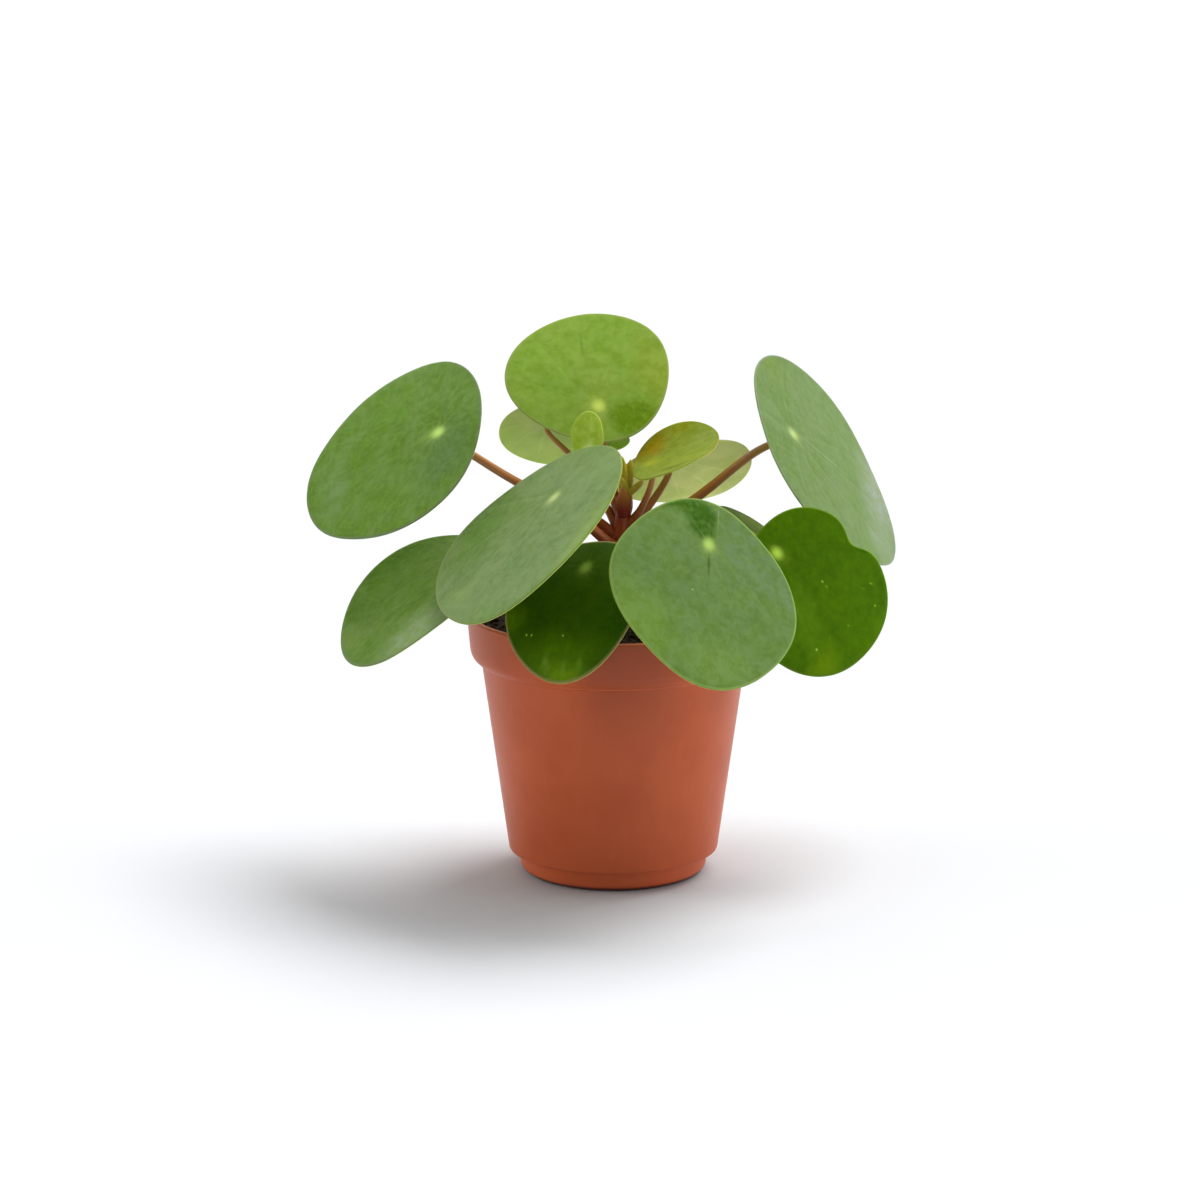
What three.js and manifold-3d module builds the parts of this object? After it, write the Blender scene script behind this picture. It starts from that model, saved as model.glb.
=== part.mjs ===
// A pilea, a house plant with round leaves, potted in a 12 cm plastic nursery pot.
// Millimetres, +Z up, +Y to the back. The origin is on the pot's axis, on the surface it stands on.
import * as THREE from 'three';
import { mergeVertices } from 'three/addons/utils/BufferGeometryUtils.js';
import Module from 'manifold-3d';

const wasm = await Module();
wasm.setup();

// Clearance kept between neighbouring pieces
const GAP = 0.3;

// Pot
const RIM_RADIUS = 60;
const POT_HEIGHT = 109.3;
const WALL = 1.2;
const BAND_BOTTOM = 92.1;
const BAND_BOTTOM_RADIUS = 58.3;
const BODY_TOP = 88.7;
const BODY_TOP_RADIUS = 54.1;
const LEDGE_TOP = 9.4;
const LEDGE_TOP_RADIUS = 43;
const LEDGE_BOTTOM = 8.4;
const FOOT_RADIUS = 38.7;
const FOOT_RING_RADIUS = 35.6;
const FOOT_RING_WIDTH = 2.2;
const FLOOR_UNDERSIDE = 2.2;
const FLOOR_TOP = 3.4;
const CENTRE_PAD_RADIUS = 9;
const DRAIN_HOLES = 8;
const DRAIN_HOLE_RADIUS = 3.5;
const DRAIN_CIRCLE_RADIUS = 23;
const POT_SIDES = 56;

// Soil
const SOIL_TOP = 100;
const SOIL_RELIEF = 0.9;
const SOIL_SIDES = 40;
const STEM_HOLE_BOTTOM = 70;

// Stem, from the flat end in the soil up to the shoot tip
const STEM_BASE_RADIUS = 4.2;
const STEM_TOP_RADIUS = 2.7;
const STEM_SIDES = 12;
const STEM_BOTTOM = 70.6;
const STEM_LINE = [
  [0, 0, STEM_BOTTOM],
  [0, 0, SOIL_TOP],
  [1, 0, 120],
  [2.5, -0.5, 140],
  [5.5, -1, 158],
];

// Leaves
const BLADE_THICKNESS = 0.8;
const BLADE_SECTORS = 28;
const BLADE_RINGS = [0.14, 0.42, 0.72, 1];
const STALK_SIDES = 8;
const STALK_STEPS = 11;

// One row for each leaf. hub is where the stalk meets the blade; face, tilt and turn are the compass
// direction that the blade looks to, its height above the horizon, and the midrib's turn from
// straight downhill, in degrees. size is the blade's length and width; back is the part of the
// length behind the hub; egg narrows the tip end; curl lifts the margins along and across.
// lobes are [waves round the margin, share of the radius, angle of the first crest].
// stalk is [radius at the stem, radius at the blade, last straight length]; root is the height
// at which it leaves the stem, and bends are the points that it passes on its way.
const LEAVES = [
  {
    name: 'upper_left', hub: [-70.9, 1.5, 183.1], face: 220, tilt: 40, turn: -55,
    size: [90.4, 85.6], back: 0.25, egg: -0.03, curl: [-0.3, -1.3],
    lobes: [[3, 0.025, 27], [4, 0.012, 85]],
    stalk: [2, 1.6, 5], root: 139, bends: [[-7, -1, 147], [-39, 0, 162.5], [-57, 1.5, 173.4]],
  },
  {
    name: 'top', hub: [-6, 17, 190.7], face: 268, tilt: 50, turn: 194,
    size: [71.6, 67.6], back: 0.25, egg: 0.02, curl: [-2, -0.3],
    lobes: [[3, 0.029, -124], [4, 0.009, 55]],
    stalk: [1.8, 1.3, 5], root: 147, bends: [[0, 4, 155], [-4, 16, 175]],
  },
  {
    name: 'upper_right', hub: [73.6, 24, 178], face: 340, tilt: 33, turn: 47,
    size: [102, 97], back: 0.25, egg: -0.01, curl: [-1.5, -0.1],
    lobes: [[3, 0.018, -31], [4, 0.019, -125]],
    stalk: [2.3, 1.5, 4], root: 134, bends: [[34.5, 8, 154.8], [58, 17, 171.4]],
  },
  {
    name: 'front_left', hub: [-23.5, -49, 167], face: 201, tilt: 51, turn: 21,
    size: [97, 91], back: 0.3, egg: 0.01, curl: [-2.4, 0.9],
    lobes: [[3, 0.023, 135], [4, 0.016, 79]],
    stalk: [2.2, 1.6, 5], root: 135, bends: [[-3, -8, 140], [-13, -27, 153]],
  },
  {
    name: 'lower_left', hub: [-59.3, -14, 134.6], face: 211, tilt: 66, turn: -2,
    size: [80, 75], back: 0.21, egg: 0, curl: [-5.6, 2.1],
    lobes: [[3, 0.011, 52], [4, 0.009, -84]],
    stalk: [2.1, 1.5, 5], root: 122, bends: [[-24, -5, 128]],
  },
  {
    name: 'front_low', hub: [-11, -45.5, 137.5], face: 234, tilt: 51, turn: 10,
    size: [64, 60], back: 0.23, egg: -0.01, curl: [-4.9, 0.1],
    lobes: [[3, 0.016, 43]],
    stalk: [1.9, 1.3, 4], root: 117, bends: [[-4, -20, 123]],
  },
  {
    name: 'front_right', hub: [37.5, -61, 150.5], face: 306, tilt: 42, turn: -29,
    size: [85, 80], back: 0.23, egg: 0.02, curl: [-1.4, -2.1],
    lobes: [[4, 0.03, 21]],
    stalk: [2.2, 1.6, 5], root: 130, bends: [[14, -26, 137]],
  },
  {
    name: 'lower_right', hub: [65.4, -31, 140.2], face: 295, tilt: 18, turn: 40,
    size: [69, 66], back: 0.17, egg: 0, curl: [-1, -1.2],
    lobes: [[3, 0.01, 84], [4, 0.018, -167]],
    notch: { at: 92, spread: 13, depth: 0.16 },
    stalk: [2, 1.4, 5], root: 120, bends: [[30, -10, 128], [56, -20, 136]],
  },
  {
    name: 'back_left', hub: [-27, 40, 179.5], face: 84, tilt: 48, turn: -11,
    size: [50, 46], back: 0.3, egg: 0, curl: [0, -1.5], lobes: [],
    stalk: [1.8, 1, 4], root: 141, bends: [[-2.5, 4, 151], [-16.5, 26, 167]],
  },
  {
    name: 'young_upright', hub: [-9.5, -5.5, 176], face: 235, tilt: 0, turn: 185,
    size: [21, 16], back: 0.2, egg: 0, curl: [-0.6, 1.5], lobes: [],
    stalk: [1.1, 0.8, 3.2], root: 151, bends: [[-1, -1, 162]],
  },
  {
    name: 'young_right', hub: [14.6, -6, 171.4], face: 205, tilt: 64.5, turn: 152,
    size: [38, 48], back: 0.2, egg: 0, curl: [-0.1, 3], lobes: [],
    stalk: [1.6, 1.1, 4], root: 143, bends: [[11, -3, 152]],
  },
  {
    name: 'back_right', hub: [22.3, 27, 165.6], face: 112, tilt: 54, turn: -50,
    size: [60, 57], back: 0.29, egg: 0, curl: [-2, -0.7], lobes: [],
    stalk: [1.8, 1.3, 4], root: 141, bends: [[13, 8, 149]],
  },
  {
    name: 'right_behind', hub: [56.5, 12.5, 138.3], face: 351, tilt: 54, turn: 19,
    size: [54, 51], back: 0.32, egg: 0, curl: [-1.5, -1.2], lobes: [],
    stalk: [1.8, 1.3, 4], root: 126, bends: [[28, 6, 129]],
  },
  {
    name: 'back', hub: [-5.5, 30, 177.3], face: 85, tilt: 60, turn: 0,
    size: [25, 24], back: 0.28, egg: 0, curl: [-1, -1], lobes: [],
    stalk: [1.7, 1.3, 4], root: 149, bends: [[0.5, 9, 157], [-3, 20, 166]],
  },
];

// Shoot tip: unopened leaves, each [lean to x, lean to y, length, radius]
const TIP_BASE = 158 + GAP;
const TIP_BUDS = [[-2.2, -0.6, 15.6, 1.9], [1.4, 0.4, 14, 1.6], [-1.2, 2, 11, 1.5]];
const STIPULES = [[0, -3.2, 9.2, 2.2], [1.8, 1.6, 9, 2]];
const STIPULE_BASE = 148.6;

const radians = THREE.MathUtils.degToRad;
const vector = (values) => new THREE.Vector3(...values);

// Solids and booleans

function closedMesh(positions, triangles) {
  const geometry = new THREE.BufferGeometry();
  geometry.setAttribute('position', new THREE.Float32BufferAttribute(positions.flat(), 3));
  geometry.setIndex(triangles.flat());
  return geometry;
}

function toSolid(source) {
  const bare = source.clone();
  bare.deleteAttribute('normal');
  bare.deleteAttribute('uv');
  const merged = mergeVertices(bare, 1e-4);
  return new wasm.Manifold(new wasm.Mesh({
    numProp: 3,
    vertProperties: new Float32Array(merged.attributes.position.array),
    triVerts: new Uint32Array(merged.index.array),
  }));
}

function toGeometry(solid) {
  const mesh = solid.getMesh();
  const geometry = new THREE.BufferGeometry();
  geometry.setAttribute('position', new THREE.BufferAttribute(mesh.vertProperties, 3));
  geometry.setIndex(new THREE.BufferAttribute(mesh.triVerts, 1));
  return geometry;
}

function joined(geometries) {
  const solids = geometries.map(toSolid);
  return toGeometry(solids.slice(1).reduce((sum, next) => sum.add(next), solids[0]));
}

function lathe(profile, sides) {
  const points = profile.map(([radius, height]) => new THREE.Vector2(radius, height));
  const geometry = new THREE.LatheGeometry(points, sides);
  geometry.rotateX(Math.PI / 2);
  return geometry;
}

// A closed round stalk along a curve. radiusAt(u) is its radius; the last ring lies square to endNormal.
function stalkAlong(curve, steps, sides, radiusAt, endNormal) {
  const positions = [];
  const triangles = [];
  const side = new THREE.Vector3(0.31, 0.87, 0.38);
  for (let i = 0; i <= steps; i += 1) {
    const u = i / steps;
    const centre = curve.getPointAt(u);
    const along = i === steps ? endNormal.clone() : curve.getTangentAt(u);
    side.addScaledVector(along, -side.dot(along)).normalize();
    const up = new THREE.Vector3().crossVectors(along, side);
    for (let j = 0; j < sides; j += 1) {
      const angle = (2 * Math.PI * j) / sides;
      const point = centre.clone();
      point.addScaledVector(side, radiusAt(u) * Math.cos(angle));
      point.addScaledVector(up, radiusAt(u) * Math.sin(angle));
      positions.push(point.toArray());
    }
  }
  for (let i = 0; i < steps; i += 1) {
    for (let j = 0; j < sides; j += 1) {
      const next = (j + 1) % sides;
      const a = i * sides + j;
      const b = i * sides + next;
      triangles.push([a, b, b + sides], [a, b + sides, a + sides]);
    }
  }
  const first = positions.length;
  positions.push(curve.getPoint(0).toArray(), curve.getPoint(1).toArray());
  for (let j = 0; j < sides; j += 1) {
    const next = (j + 1) % sides;
    triangles.push([first, next, j]);
    triangles.push([first + 1, steps * sides + j, steps * sides + next]);
  }
  return closedMesh(positions, triangles);
}

// Pot: one turned wall with a rolled lip, a stepped band, a ledge over the foot, and drain holes

function potGeometry() {
  const lip = 0.8;
  const profile = [
    [0, 0],
    [CENTRE_PAD_RADIUS, 0],
    [CENTRE_PAD_RADIUS + 1, FLOOR_UNDERSIDE],
    [FOOT_RING_RADIUS - FOOT_RING_WIDTH - 1, FLOOR_UNDERSIDE],
    [FOOT_RING_RADIUS - FOOT_RING_WIDTH, 0],
    [FOOT_RING_RADIUS, 0],
    [FOOT_RADIUS - 0.9, 1.7],
    [FOOT_RADIUS - 0.4, 3],
    [FOOT_RADIUS, LEDGE_BOTTOM],
    [LEDGE_TOP_RADIUS, LEDGE_TOP],
    [BODY_TOP_RADIUS, BODY_TOP],
    [BODY_TOP_RADIUS + 1.4, BODY_TOP + 0.5],
    [BAND_BOTTOM_RADIUS - 1, BAND_BOTTOM - 1.7],
    [BAND_BOTTOM_RADIUS, BAND_BOTTOM],
    [BAND_BOTTOM_RADIUS + 0.5, BAND_BOTTOM + 2.4],
    [RIM_RADIUS, POT_HEIGHT - lip],
    [RIM_RADIUS - 0.3, POT_HEIGHT - 0.25],
    [RIM_RADIUS - lip, POT_HEIGHT],
    [RIM_RADIUS - WALL - 0.3, POT_HEIGHT],
    [RIM_RADIUS - WALL - 0.6, POT_HEIGHT - 0.5],
    [BAND_BOTTOM_RADIUS - WALL, BAND_BOTTOM + 0.9],
    [BODY_TOP_RADIUS - WALL, BODY_TOP + 1.2],
    [LEDGE_TOP_RADIUS - WALL, LEDGE_TOP + WALL],
    [FOOT_RADIUS - WALL, LEDGE_BOTTOM + WALL],
    [FOOT_RADIUS - 2, FLOOR_TOP + 0.6],
    [FOOT_RADIUS - 2.8, FLOOR_TOP],
    [0, FLOOR_TOP],
  ];
  let pot = toSolid(lathe(profile, POT_SIDES));
  for (let i = 0; i < DRAIN_HOLES; i += 1) {
    const angle = (2 * Math.PI * (i + 0.5)) / DRAIN_HOLES;
    const hole = new THREE.CylinderGeometry(DRAIN_HOLE_RADIUS, DRAIN_HOLE_RADIUS, 12, 16);
    hole.rotateX(Math.PI / 2);
    hole.translate(DRAIN_CIRCLE_RADIUS * Math.cos(angle), DRAIN_CIRCLE_RADIUS * Math.sin(angle), 2);
    pot = pot.subtract(toSolid(hole));
  }
  return toGeometry(pot);
}

// Soil: fills the pot, with a lumpy top and a plain hole for the stem

function soilRelief(x, y) {
  const broad = Math.sin(0.21 * x + 1.3) * Math.cos(0.17 * y - 0.6);
  const fine = Math.sin(0.47 * x - 0.38 * y) * Math.cos(0.41 * x + 0.52 * y + 2);
  return SOIL_RELIEF * (broad + 0.7 * fine);
}

function soilGeometry() {
  const holeRadius = STEM_BASE_RADIUS + GAP;
  const topRings = [56.8, 50, 40, 30, 20, 12, holeRadius];
  const profile = [
    [0, FLOOR_TOP + GAP],
    [FOOT_RADIUS - 3, FLOOR_TOP + GAP],
    [FOOT_RADIUS - 2.4, FLOOR_TOP + 1],
    [FOOT_RADIUS - WALL - GAP, LEDGE_BOTTOM + WALL + GAP],
    [LEDGE_TOP_RADIUS - WALL - GAP, LEDGE_TOP + WALL + GAP],
    [BODY_TOP_RADIUS - WALL - GAP, BODY_TOP + 1.5],
    [BAND_BOTTOM_RADIUS - WALL - GAP, BAND_BOTTOM + 1.2],
    ...topRings.map((radius) => [radius, SOIL_TOP]),
    [holeRadius, STEM_HOLE_BOTTOM],
    [0, STEM_HOLE_BOTTOM],
  ];
  const geometry = lathe(profile, SOIL_SIDES);
  const place = geometry.attributes.position;
  for (let i = 0; i < place.count; i += 1) {
    const x = place.getX(i);
    const y = place.getY(i);
    if (Math.abs(place.getZ(i) - SOIL_TOP) < 1e-3) {
      place.setZ(i, SOIL_TOP + soilRelief(x, y));
    }
  }
  return toGeometry(toSolid(geometry));
}

// Blades: nearly round, held from beneath off their centre

function bladeAxes(leaf) {
  const face = radians(leaf.face);
  const tilt = radians(leaf.tilt);
  const turn = radians(leaf.turn);
  const normal = vector([
    Math.cos(face) * Math.cos(tilt),
    Math.sin(face) * Math.cos(tilt),
    Math.sin(tilt),
  ]);
  const downhill = vector([
    Math.cos(face) * Math.sin(tilt),
    Math.sin(face) * Math.sin(tilt),
    -Math.cos(tilt),
  ]);
  const level = new THREE.Vector3().crossVectors(normal, downhill);
  const along = downhill.multiplyScalar(Math.cos(turn)).addScaledVector(level, Math.sin(turn));
  const across = new THREE.Vector3().crossVectors(normal, along);
  return { normal, along, across };
}

function marginScale(leaf, angle) {
  let scale = 1;
  for (const [waves, share, crest] of leaf.lobes) {
    scale += share * Math.cos(waves * angle - radians(crest));
  }
  if (leaf.notch) {
    const turned = THREE.MathUtils.radToDeg(angle) - leaf.notch.at;
    const offset = THREE.MathUtils.euclideanModulo(turned + 180, 360) - 180;
    scale -= leaf.notch.depth * Math.exp(-((offset / leaf.notch.spread) ** 2));
  }
  return scale;
}

function bladePoint(leaf, axes, ring, angle) {
  const halfLength = leaf.size[0] / 2;
  const halfWidth = leaf.size[1] / 2;
  const scale = marginScale(leaf, angle);
  const edgeAlong = halfLength * (1 - 2 * leaf.back + Math.cos(angle) * scale);
  const edgeAcross = halfWidth * Math.sin(angle) * (1 + leaf.egg * Math.cos(angle)) * scale;
  const x = ring * edgeAlong;
  const y = ring * edgeAcross;
  const lift = leaf.curl[0] * (x / halfLength) ** 2 + leaf.curl[1] * (y / halfWidth) ** 2;
  return vector(leaf.hub)
    .addScaledVector(axes.along, x)
    .addScaledVector(axes.across, y)
    .addScaledVector(axes.normal, lift);
}

function bladeGeometry(leaf) {
  const axes = bladeAxes(leaf);
  const half = BLADE_THICKNESS / 2;
  const positions = [];
  const triangles = [];
  const sectors = BLADE_SECTORS;
  const faceSize = 1 + BLADE_RINGS.length * sectors;
  for (const offset of [half, -half]) {
    const shift = axes.normal.clone().multiplyScalar(offset);
    positions.push(vector(leaf.hub).add(shift).toArray());
    for (const ring of BLADE_RINGS) {
      for (let j = 0; j < sectors; j += 1) {
        const angle = (2 * Math.PI * j) / sectors;
        positions.push(bladePoint(leaf, axes, ring, angle).add(shift).toArray());
      }
    }
  }
  const add = (a, b, c) => {
    triangles.push([a, b, c], [a + faceSize, c + faceSize, b + faceSize]);
  };
  for (let j = 0; j < sectors; j += 1) {
    const next = (j + 1) % sectors;
    add(0, 1 + j, 1 + next);
    for (let i = 0; i < BLADE_RINGS.length - 1; i += 1) {
      const inner = 1 + i * sectors;
      const outer = inner + sectors;
      add(inner + j, outer + j, outer + next);
      add(inner + j, outer + next, inner + next);
    }
    const rim = 1 + (BLADE_RINGS.length - 1) * sectors;
    const under = rim + faceSize;
    triangles.push([rim + j, under + j, under + next], [rim + j, under + next, rim + next]);
  }
  return closedMesh(positions, triangles);
}

// Stem, with every leaf stalk and the dry stipules grown from it

const stemCurve = new THREE.CatmullRomCurve3(STEM_LINE.map(vector), false, 'centripetal');

function stemAt(height) {
  const index = STEM_LINE.findIndex((point, i) => i > 0 && point[2] >= height);
  const low = vector(STEM_LINE[index - 1]);
  const high = vector(STEM_LINE[index]);
  return low.lerp(high, (height - low.z) / (high.z - low.z));
}

function leafStalk(leaf) {
  const [baseRadius, bladeRadius, straight] = leaf.stalk;
  const { normal } = bladeAxes(leaf);
  const seat = BLADE_THICKNESS / 2 + GAP;
  const points = [
    stemAt(leaf.root),
    ...leaf.bends.map(vector),
    vector(leaf.hub).addScaledVector(normal, -straight),
    vector(leaf.hub).addScaledVector(normal, -seat),
  ];
  const curve = new THREE.CatmullRomCurve3(points, false, 'centripetal');
  const radiusAt = (u) => baseRadius + (bladeRadius - baseRadius) * u;
  return stalkAlong(curve, STALK_STEPS, STALK_SIDES, radiusAt, normal);
}

// A pointed bud or scale that stands on its base and leans by (x, y)
function spindle([leanX, leanY, length, radius], foot) {
  const profile = [
    [0, 0],
    [radius * 0.8, 0],
    [radius, length * 0.25],
    [radius * 0.85, length * 0.55],
    [radius * 0.45, length * 0.85],
    [0, length],
  ];
  const geometry = lathe(profile, STALK_SIDES);
  const lean = new THREE.Matrix4().set(
    1, 0, leanX / length, foot.x,
    0, 1, leanY / length, foot.y,
    0, 0, 1, foot.z,
    0, 0, 0, 1,
  );
  return geometry.applyMatrix4(lean);
}

function stemGeometry() {
  const up = new THREE.Vector3(0, 0, 1);
  const radiusAt = (u) => STEM_BASE_RADIUS + (STEM_TOP_RADIUS - STEM_BASE_RADIUS) * u;
  const stem = stalkAlong(stemCurve, 14, STEM_SIDES, radiusAt, up);
  const scales = STIPULES.map((scale) => spindle(scale, stemAt(STIPULE_BASE)));
  return joined([stem, ...LEAVES.map(leafStalk), ...scales]);
}

function tipGeometry() {
  const foot = vector(STEM_LINE[STEM_LINE.length - 1]).setZ(TIP_BASE);
  return joined(TIP_BUDS.map((bud) => spindle(bud, foot)));
}

// Materials and assembly

const finishes = {
  pot: { color: 0x9c4f35, roughness: 0.45, metalness: 0 },
  soil: { color: 0x2a1c14, roughness: 0.95, metalness: 0 },
  stalk: { color: 0x7a4a35, roughness: 0.5, metalness: 0 },
  leaf: { color: 0x5a8a3c, roughness: 0.45, metalness: 0 },
  youngLeaf: { color: 0x9fb043, roughness: 0.45, metalness: 0 },
};

const plant = new THREE.Group();

function addPiece(name, geometry, finish) {
  const mesh = new THREE.Mesh(geometry, new THREE.MeshStandardMaterial(finishes[finish]));
  mesh.name = name;
  plant.add(mesh);
}

addPiece('pot', potGeometry(), 'pot');
addPiece('soil', soilGeometry(), 'soil');
addPiece('stem_and_stalks', stemGeometry(), 'stalk');
addPiece('shoot_tip', tipGeometry(), 'youngLeaf');
for (const leaf of LEAVES) {
  const young = leaf.name.startsWith('young');
  addPiece(`blade_${leaf.name}`, bladeGeometry(leaf), young ? 'youngLeaf' : 'leaf');
}

export default plant;
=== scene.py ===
# A potted pilea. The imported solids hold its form; this script dresses them: fine blades, stalks,
# stem, shoot tip, soil and pot with their materials, then a pale floor, soft light and the camera.
# Sizes are in millimetres until a mesh is made. +Z is up and +Y is to the back.
import math
import random

import bmesh
import bpy
import numpy as np
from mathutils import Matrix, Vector, noise


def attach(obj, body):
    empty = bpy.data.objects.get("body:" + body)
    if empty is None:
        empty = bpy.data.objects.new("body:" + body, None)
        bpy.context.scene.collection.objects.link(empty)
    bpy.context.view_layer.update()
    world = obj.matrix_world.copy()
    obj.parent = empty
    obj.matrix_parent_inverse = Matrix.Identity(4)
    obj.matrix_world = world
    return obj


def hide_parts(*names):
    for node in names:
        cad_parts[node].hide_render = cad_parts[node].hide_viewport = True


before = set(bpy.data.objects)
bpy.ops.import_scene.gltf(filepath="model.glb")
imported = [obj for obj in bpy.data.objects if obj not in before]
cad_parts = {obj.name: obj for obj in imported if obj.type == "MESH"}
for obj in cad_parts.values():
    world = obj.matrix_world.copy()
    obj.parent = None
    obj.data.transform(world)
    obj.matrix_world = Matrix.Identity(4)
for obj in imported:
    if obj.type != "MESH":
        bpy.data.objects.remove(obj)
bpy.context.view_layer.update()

MM = 0.001

# Camera, where the photograph was taken from
CAMERA_AIM = (-5.5, 0, 113.4)
CAMERA_DISTANCE = 2000
CAMERA_ELEVATION = 13.25
CAMERA_LENS = 146.7

# Light: a pale room that is darker on the camera's side, and lamps, each as the compass direction
# and the height that it shines from, its width in degrees and its strength
ROOM_LIGHT = 1.0
CAMERA_SIDE_LIGHT = 0.05
ROOM_FADE = (-0.6, 0.1)
LAMPS = {
    "key": (35, 61, 42, 3.6),
    "front": (262, 30, 90, 0.4),
    "left": (190, 12, 40, 0.8),
    "right": (352, 12, 40, 0.8),
}
FLOOR_REACH = 9000
FLOOR_COLOUR = (197, 199, 202)

# Pot
RIM_RADIUS = 60
POT_HEIGHT = 109.3
WALL = 1.2
BAND_BOTTOM = 92.1
BAND_BOTTOM_RADIUS = 58.3
BODY_TOP = 88.7
BODY_TOP_RADIUS = 54.1
LEDGE_TOP = 9.4
LEDGE_TOP_RADIUS = 43
LEDGE_BOTTOM = 8.4
FOOT_RADIUS = 38.7
FOOT_RING_RADIUS = 35.6
FOOT_RING_WIDTH = 2.2
FLOOR_UNDERSIDE = 2.2
FLOOR_TOP = 3.4
CENTRE_PAD_RADIUS = 9
LIP = 0.8
EDGE_HIGHLIGHT = 0.35
POT_EDGE = 0.7
SHARP_ANGLE = 50
POT_COLOURS = ((190, 89, 48), (182, 83, 43))
POT_STREAK = (198, 98, 60)
POT_SCUFF = (190, 120, 92)
FOOT_PAINTED_LIGHT = (214, 104, 60)
UNDERCUT_PAINTED_SHADE = (78, 40, 28)
EDGE_HIGHLIGHT_COLOUR = (222, 138, 106)
# Painted shade of the leaves on the wall, darker in front below them: the turn of that shade's
# middle in degrees, how far to each side it starts and is full in radians, its lower end, its
# strength and its colour
BAND_SHADE_TURN = -83
BAND_SHADE_WIDTH = (0.6, 0.12)
BAND_SHADE_BOTTOM = 42
BAND_SHADE = 0.55
SHADE_COLOUR = (120, 54, 32)
DRAIN_HOLES = 8
DRAIN_HOLE_RADIUS = 3.5
DRAIN_CIRCLE_RADIUS = 23
DRAIN_HOLE_SIDES = 40
DRILL_ENDS = (-4, 8)
POT_SIDES = 224

# Soil
SOIL_TOP = 100
SOIL_SIDES = 150
SOIL_RINGS = 60
STEM_HOLE_RADIUS = 4.5
STEM_HOLE_BOTTOM = 70
SOIL_GAP = 0.3
CRUMBS = 1300
SMALL_CRUMBS = (0.5, 1.1)
LARGE_CRUMBS = (1.1, 2.1)
SMALL_SHARE = 0.85
FIBRES = 170
PEAT_COLOURS = ((22, 14, 9), (66, 42, 26))
PEAT_PATCH = (40, 26, 18)
FIBRE_COLOURS = ((58, 36, 22), (124, 88, 54))

# Stem and shoot tip. DOME_START and SCAR_WIDTH are shares of the stem's length.
STEM_STEPS = 90
STEM_SIDES = 28
DOME_START = 0.955
SCAR_WIDTH = 0.012
STEM_BASE_RADIUS = 4.2
STEM_TOP_RADIUS = 2.7
STEM_LINE = [(0, 0, 70.6), (0, 0, 100), (1, 0, 120), (2.5, -0.5, 140), (5.5, -1, 158)]
TIP_BASE = 158.3
TIP_SINK = 0.8
TIP_BUDS = [(-2.2, -0.6, 15.6, 1.9), (1.4, 0.4, 14, 1.6), (-1.2, 2, 11, 1.5)]
STIPULES = [(0, -3, 12.6, 2.4), (1.8, 1.6, 9, 2)]
STIPULE_BASE = 148.6
STIPULE_SEAT = 2.3
SCALE_HALF = 0.16
# Scales round the shoot: [shift of the foot, lean, length, radius, turn]
SHEATHS = [
    ((0.6, -1.4, 0), (6, -2.4), 7.5, 2.3, -70),
    ((-0.4, -1.6, -1), (-1.6, -0.8), 9, 2.2, -110),
]
TIP_COLOURS = ((190, 160, 14), (196, 186, 48))
TIP_STREAK = (160, 148, 16)
STIPULE_COLOURS = ((136, 27, 3), (206, 138, 62))
STIPULE_STREAK = (164, 68, 16)

# Stalks: each swells at its foot and its head, fading within so many millimetres. The colours go
# from the stem to the blade, with shares of the way for those in the middle.
STALK_STEPS = 44
STALK_SIDES = 16
STALK_FOOT = 6
STALK_HEAD = 1.6
STALK_SEAT = 0.5
STALK_END_COLOURS = ((146, 38, 6), (206, 154, 98))
STALK_MIDDLE_COLOURS = [(0.25, (152, 70, 26)), (0.6, (170, 101, 46))]
STALK_STREAK = (176, 124, 74)
STALK_PATCH = (110, 30, 5)
STALK_GREEN = (122, 112, 44)
COAT = dict(Coat_Weight=0.1, Coat_Roughness=0.3)
# A direction that no tube starts in, which its first ring is turned to
FIRST_SIDE = (0.31, 0.87, 0.38)

# Blades. Their waves and dimple are as given at the length of LARGE_BLADE, and smaller on smaller
# ones. Each vein is its angle from the midrib and its bend in degrees for each millimetre.
LARGE_BLADE = 90
SMALL_BLADE = 30
BLADE_HALF = 0.4
BLADE_RINGS = 26
RING_CROWDING = 0.9
EDGE_STEPS = 6
SECTOR_DOZENS = 0.17
DIMPLE_DEPTH = 0.5
DIMPLE_RADIUS = 4.5
HUB_SWELL = 0.4
HUB_SPREAD = 0.3
VEIN_DEPTH = 0.07
VEIN_WIDTH = 1.2
VEIN_WANDER = 3.0
# More than any distance to a vein
FAR = 99.0
# How far apart in the noise the blades lie, one above the other
NOISE_STEP = 37.0
VEINS = [(0, 0), (27, -0.12), (60, -0.26), (98, -0.36), (139, -0.3), (180, 0)]

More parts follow.
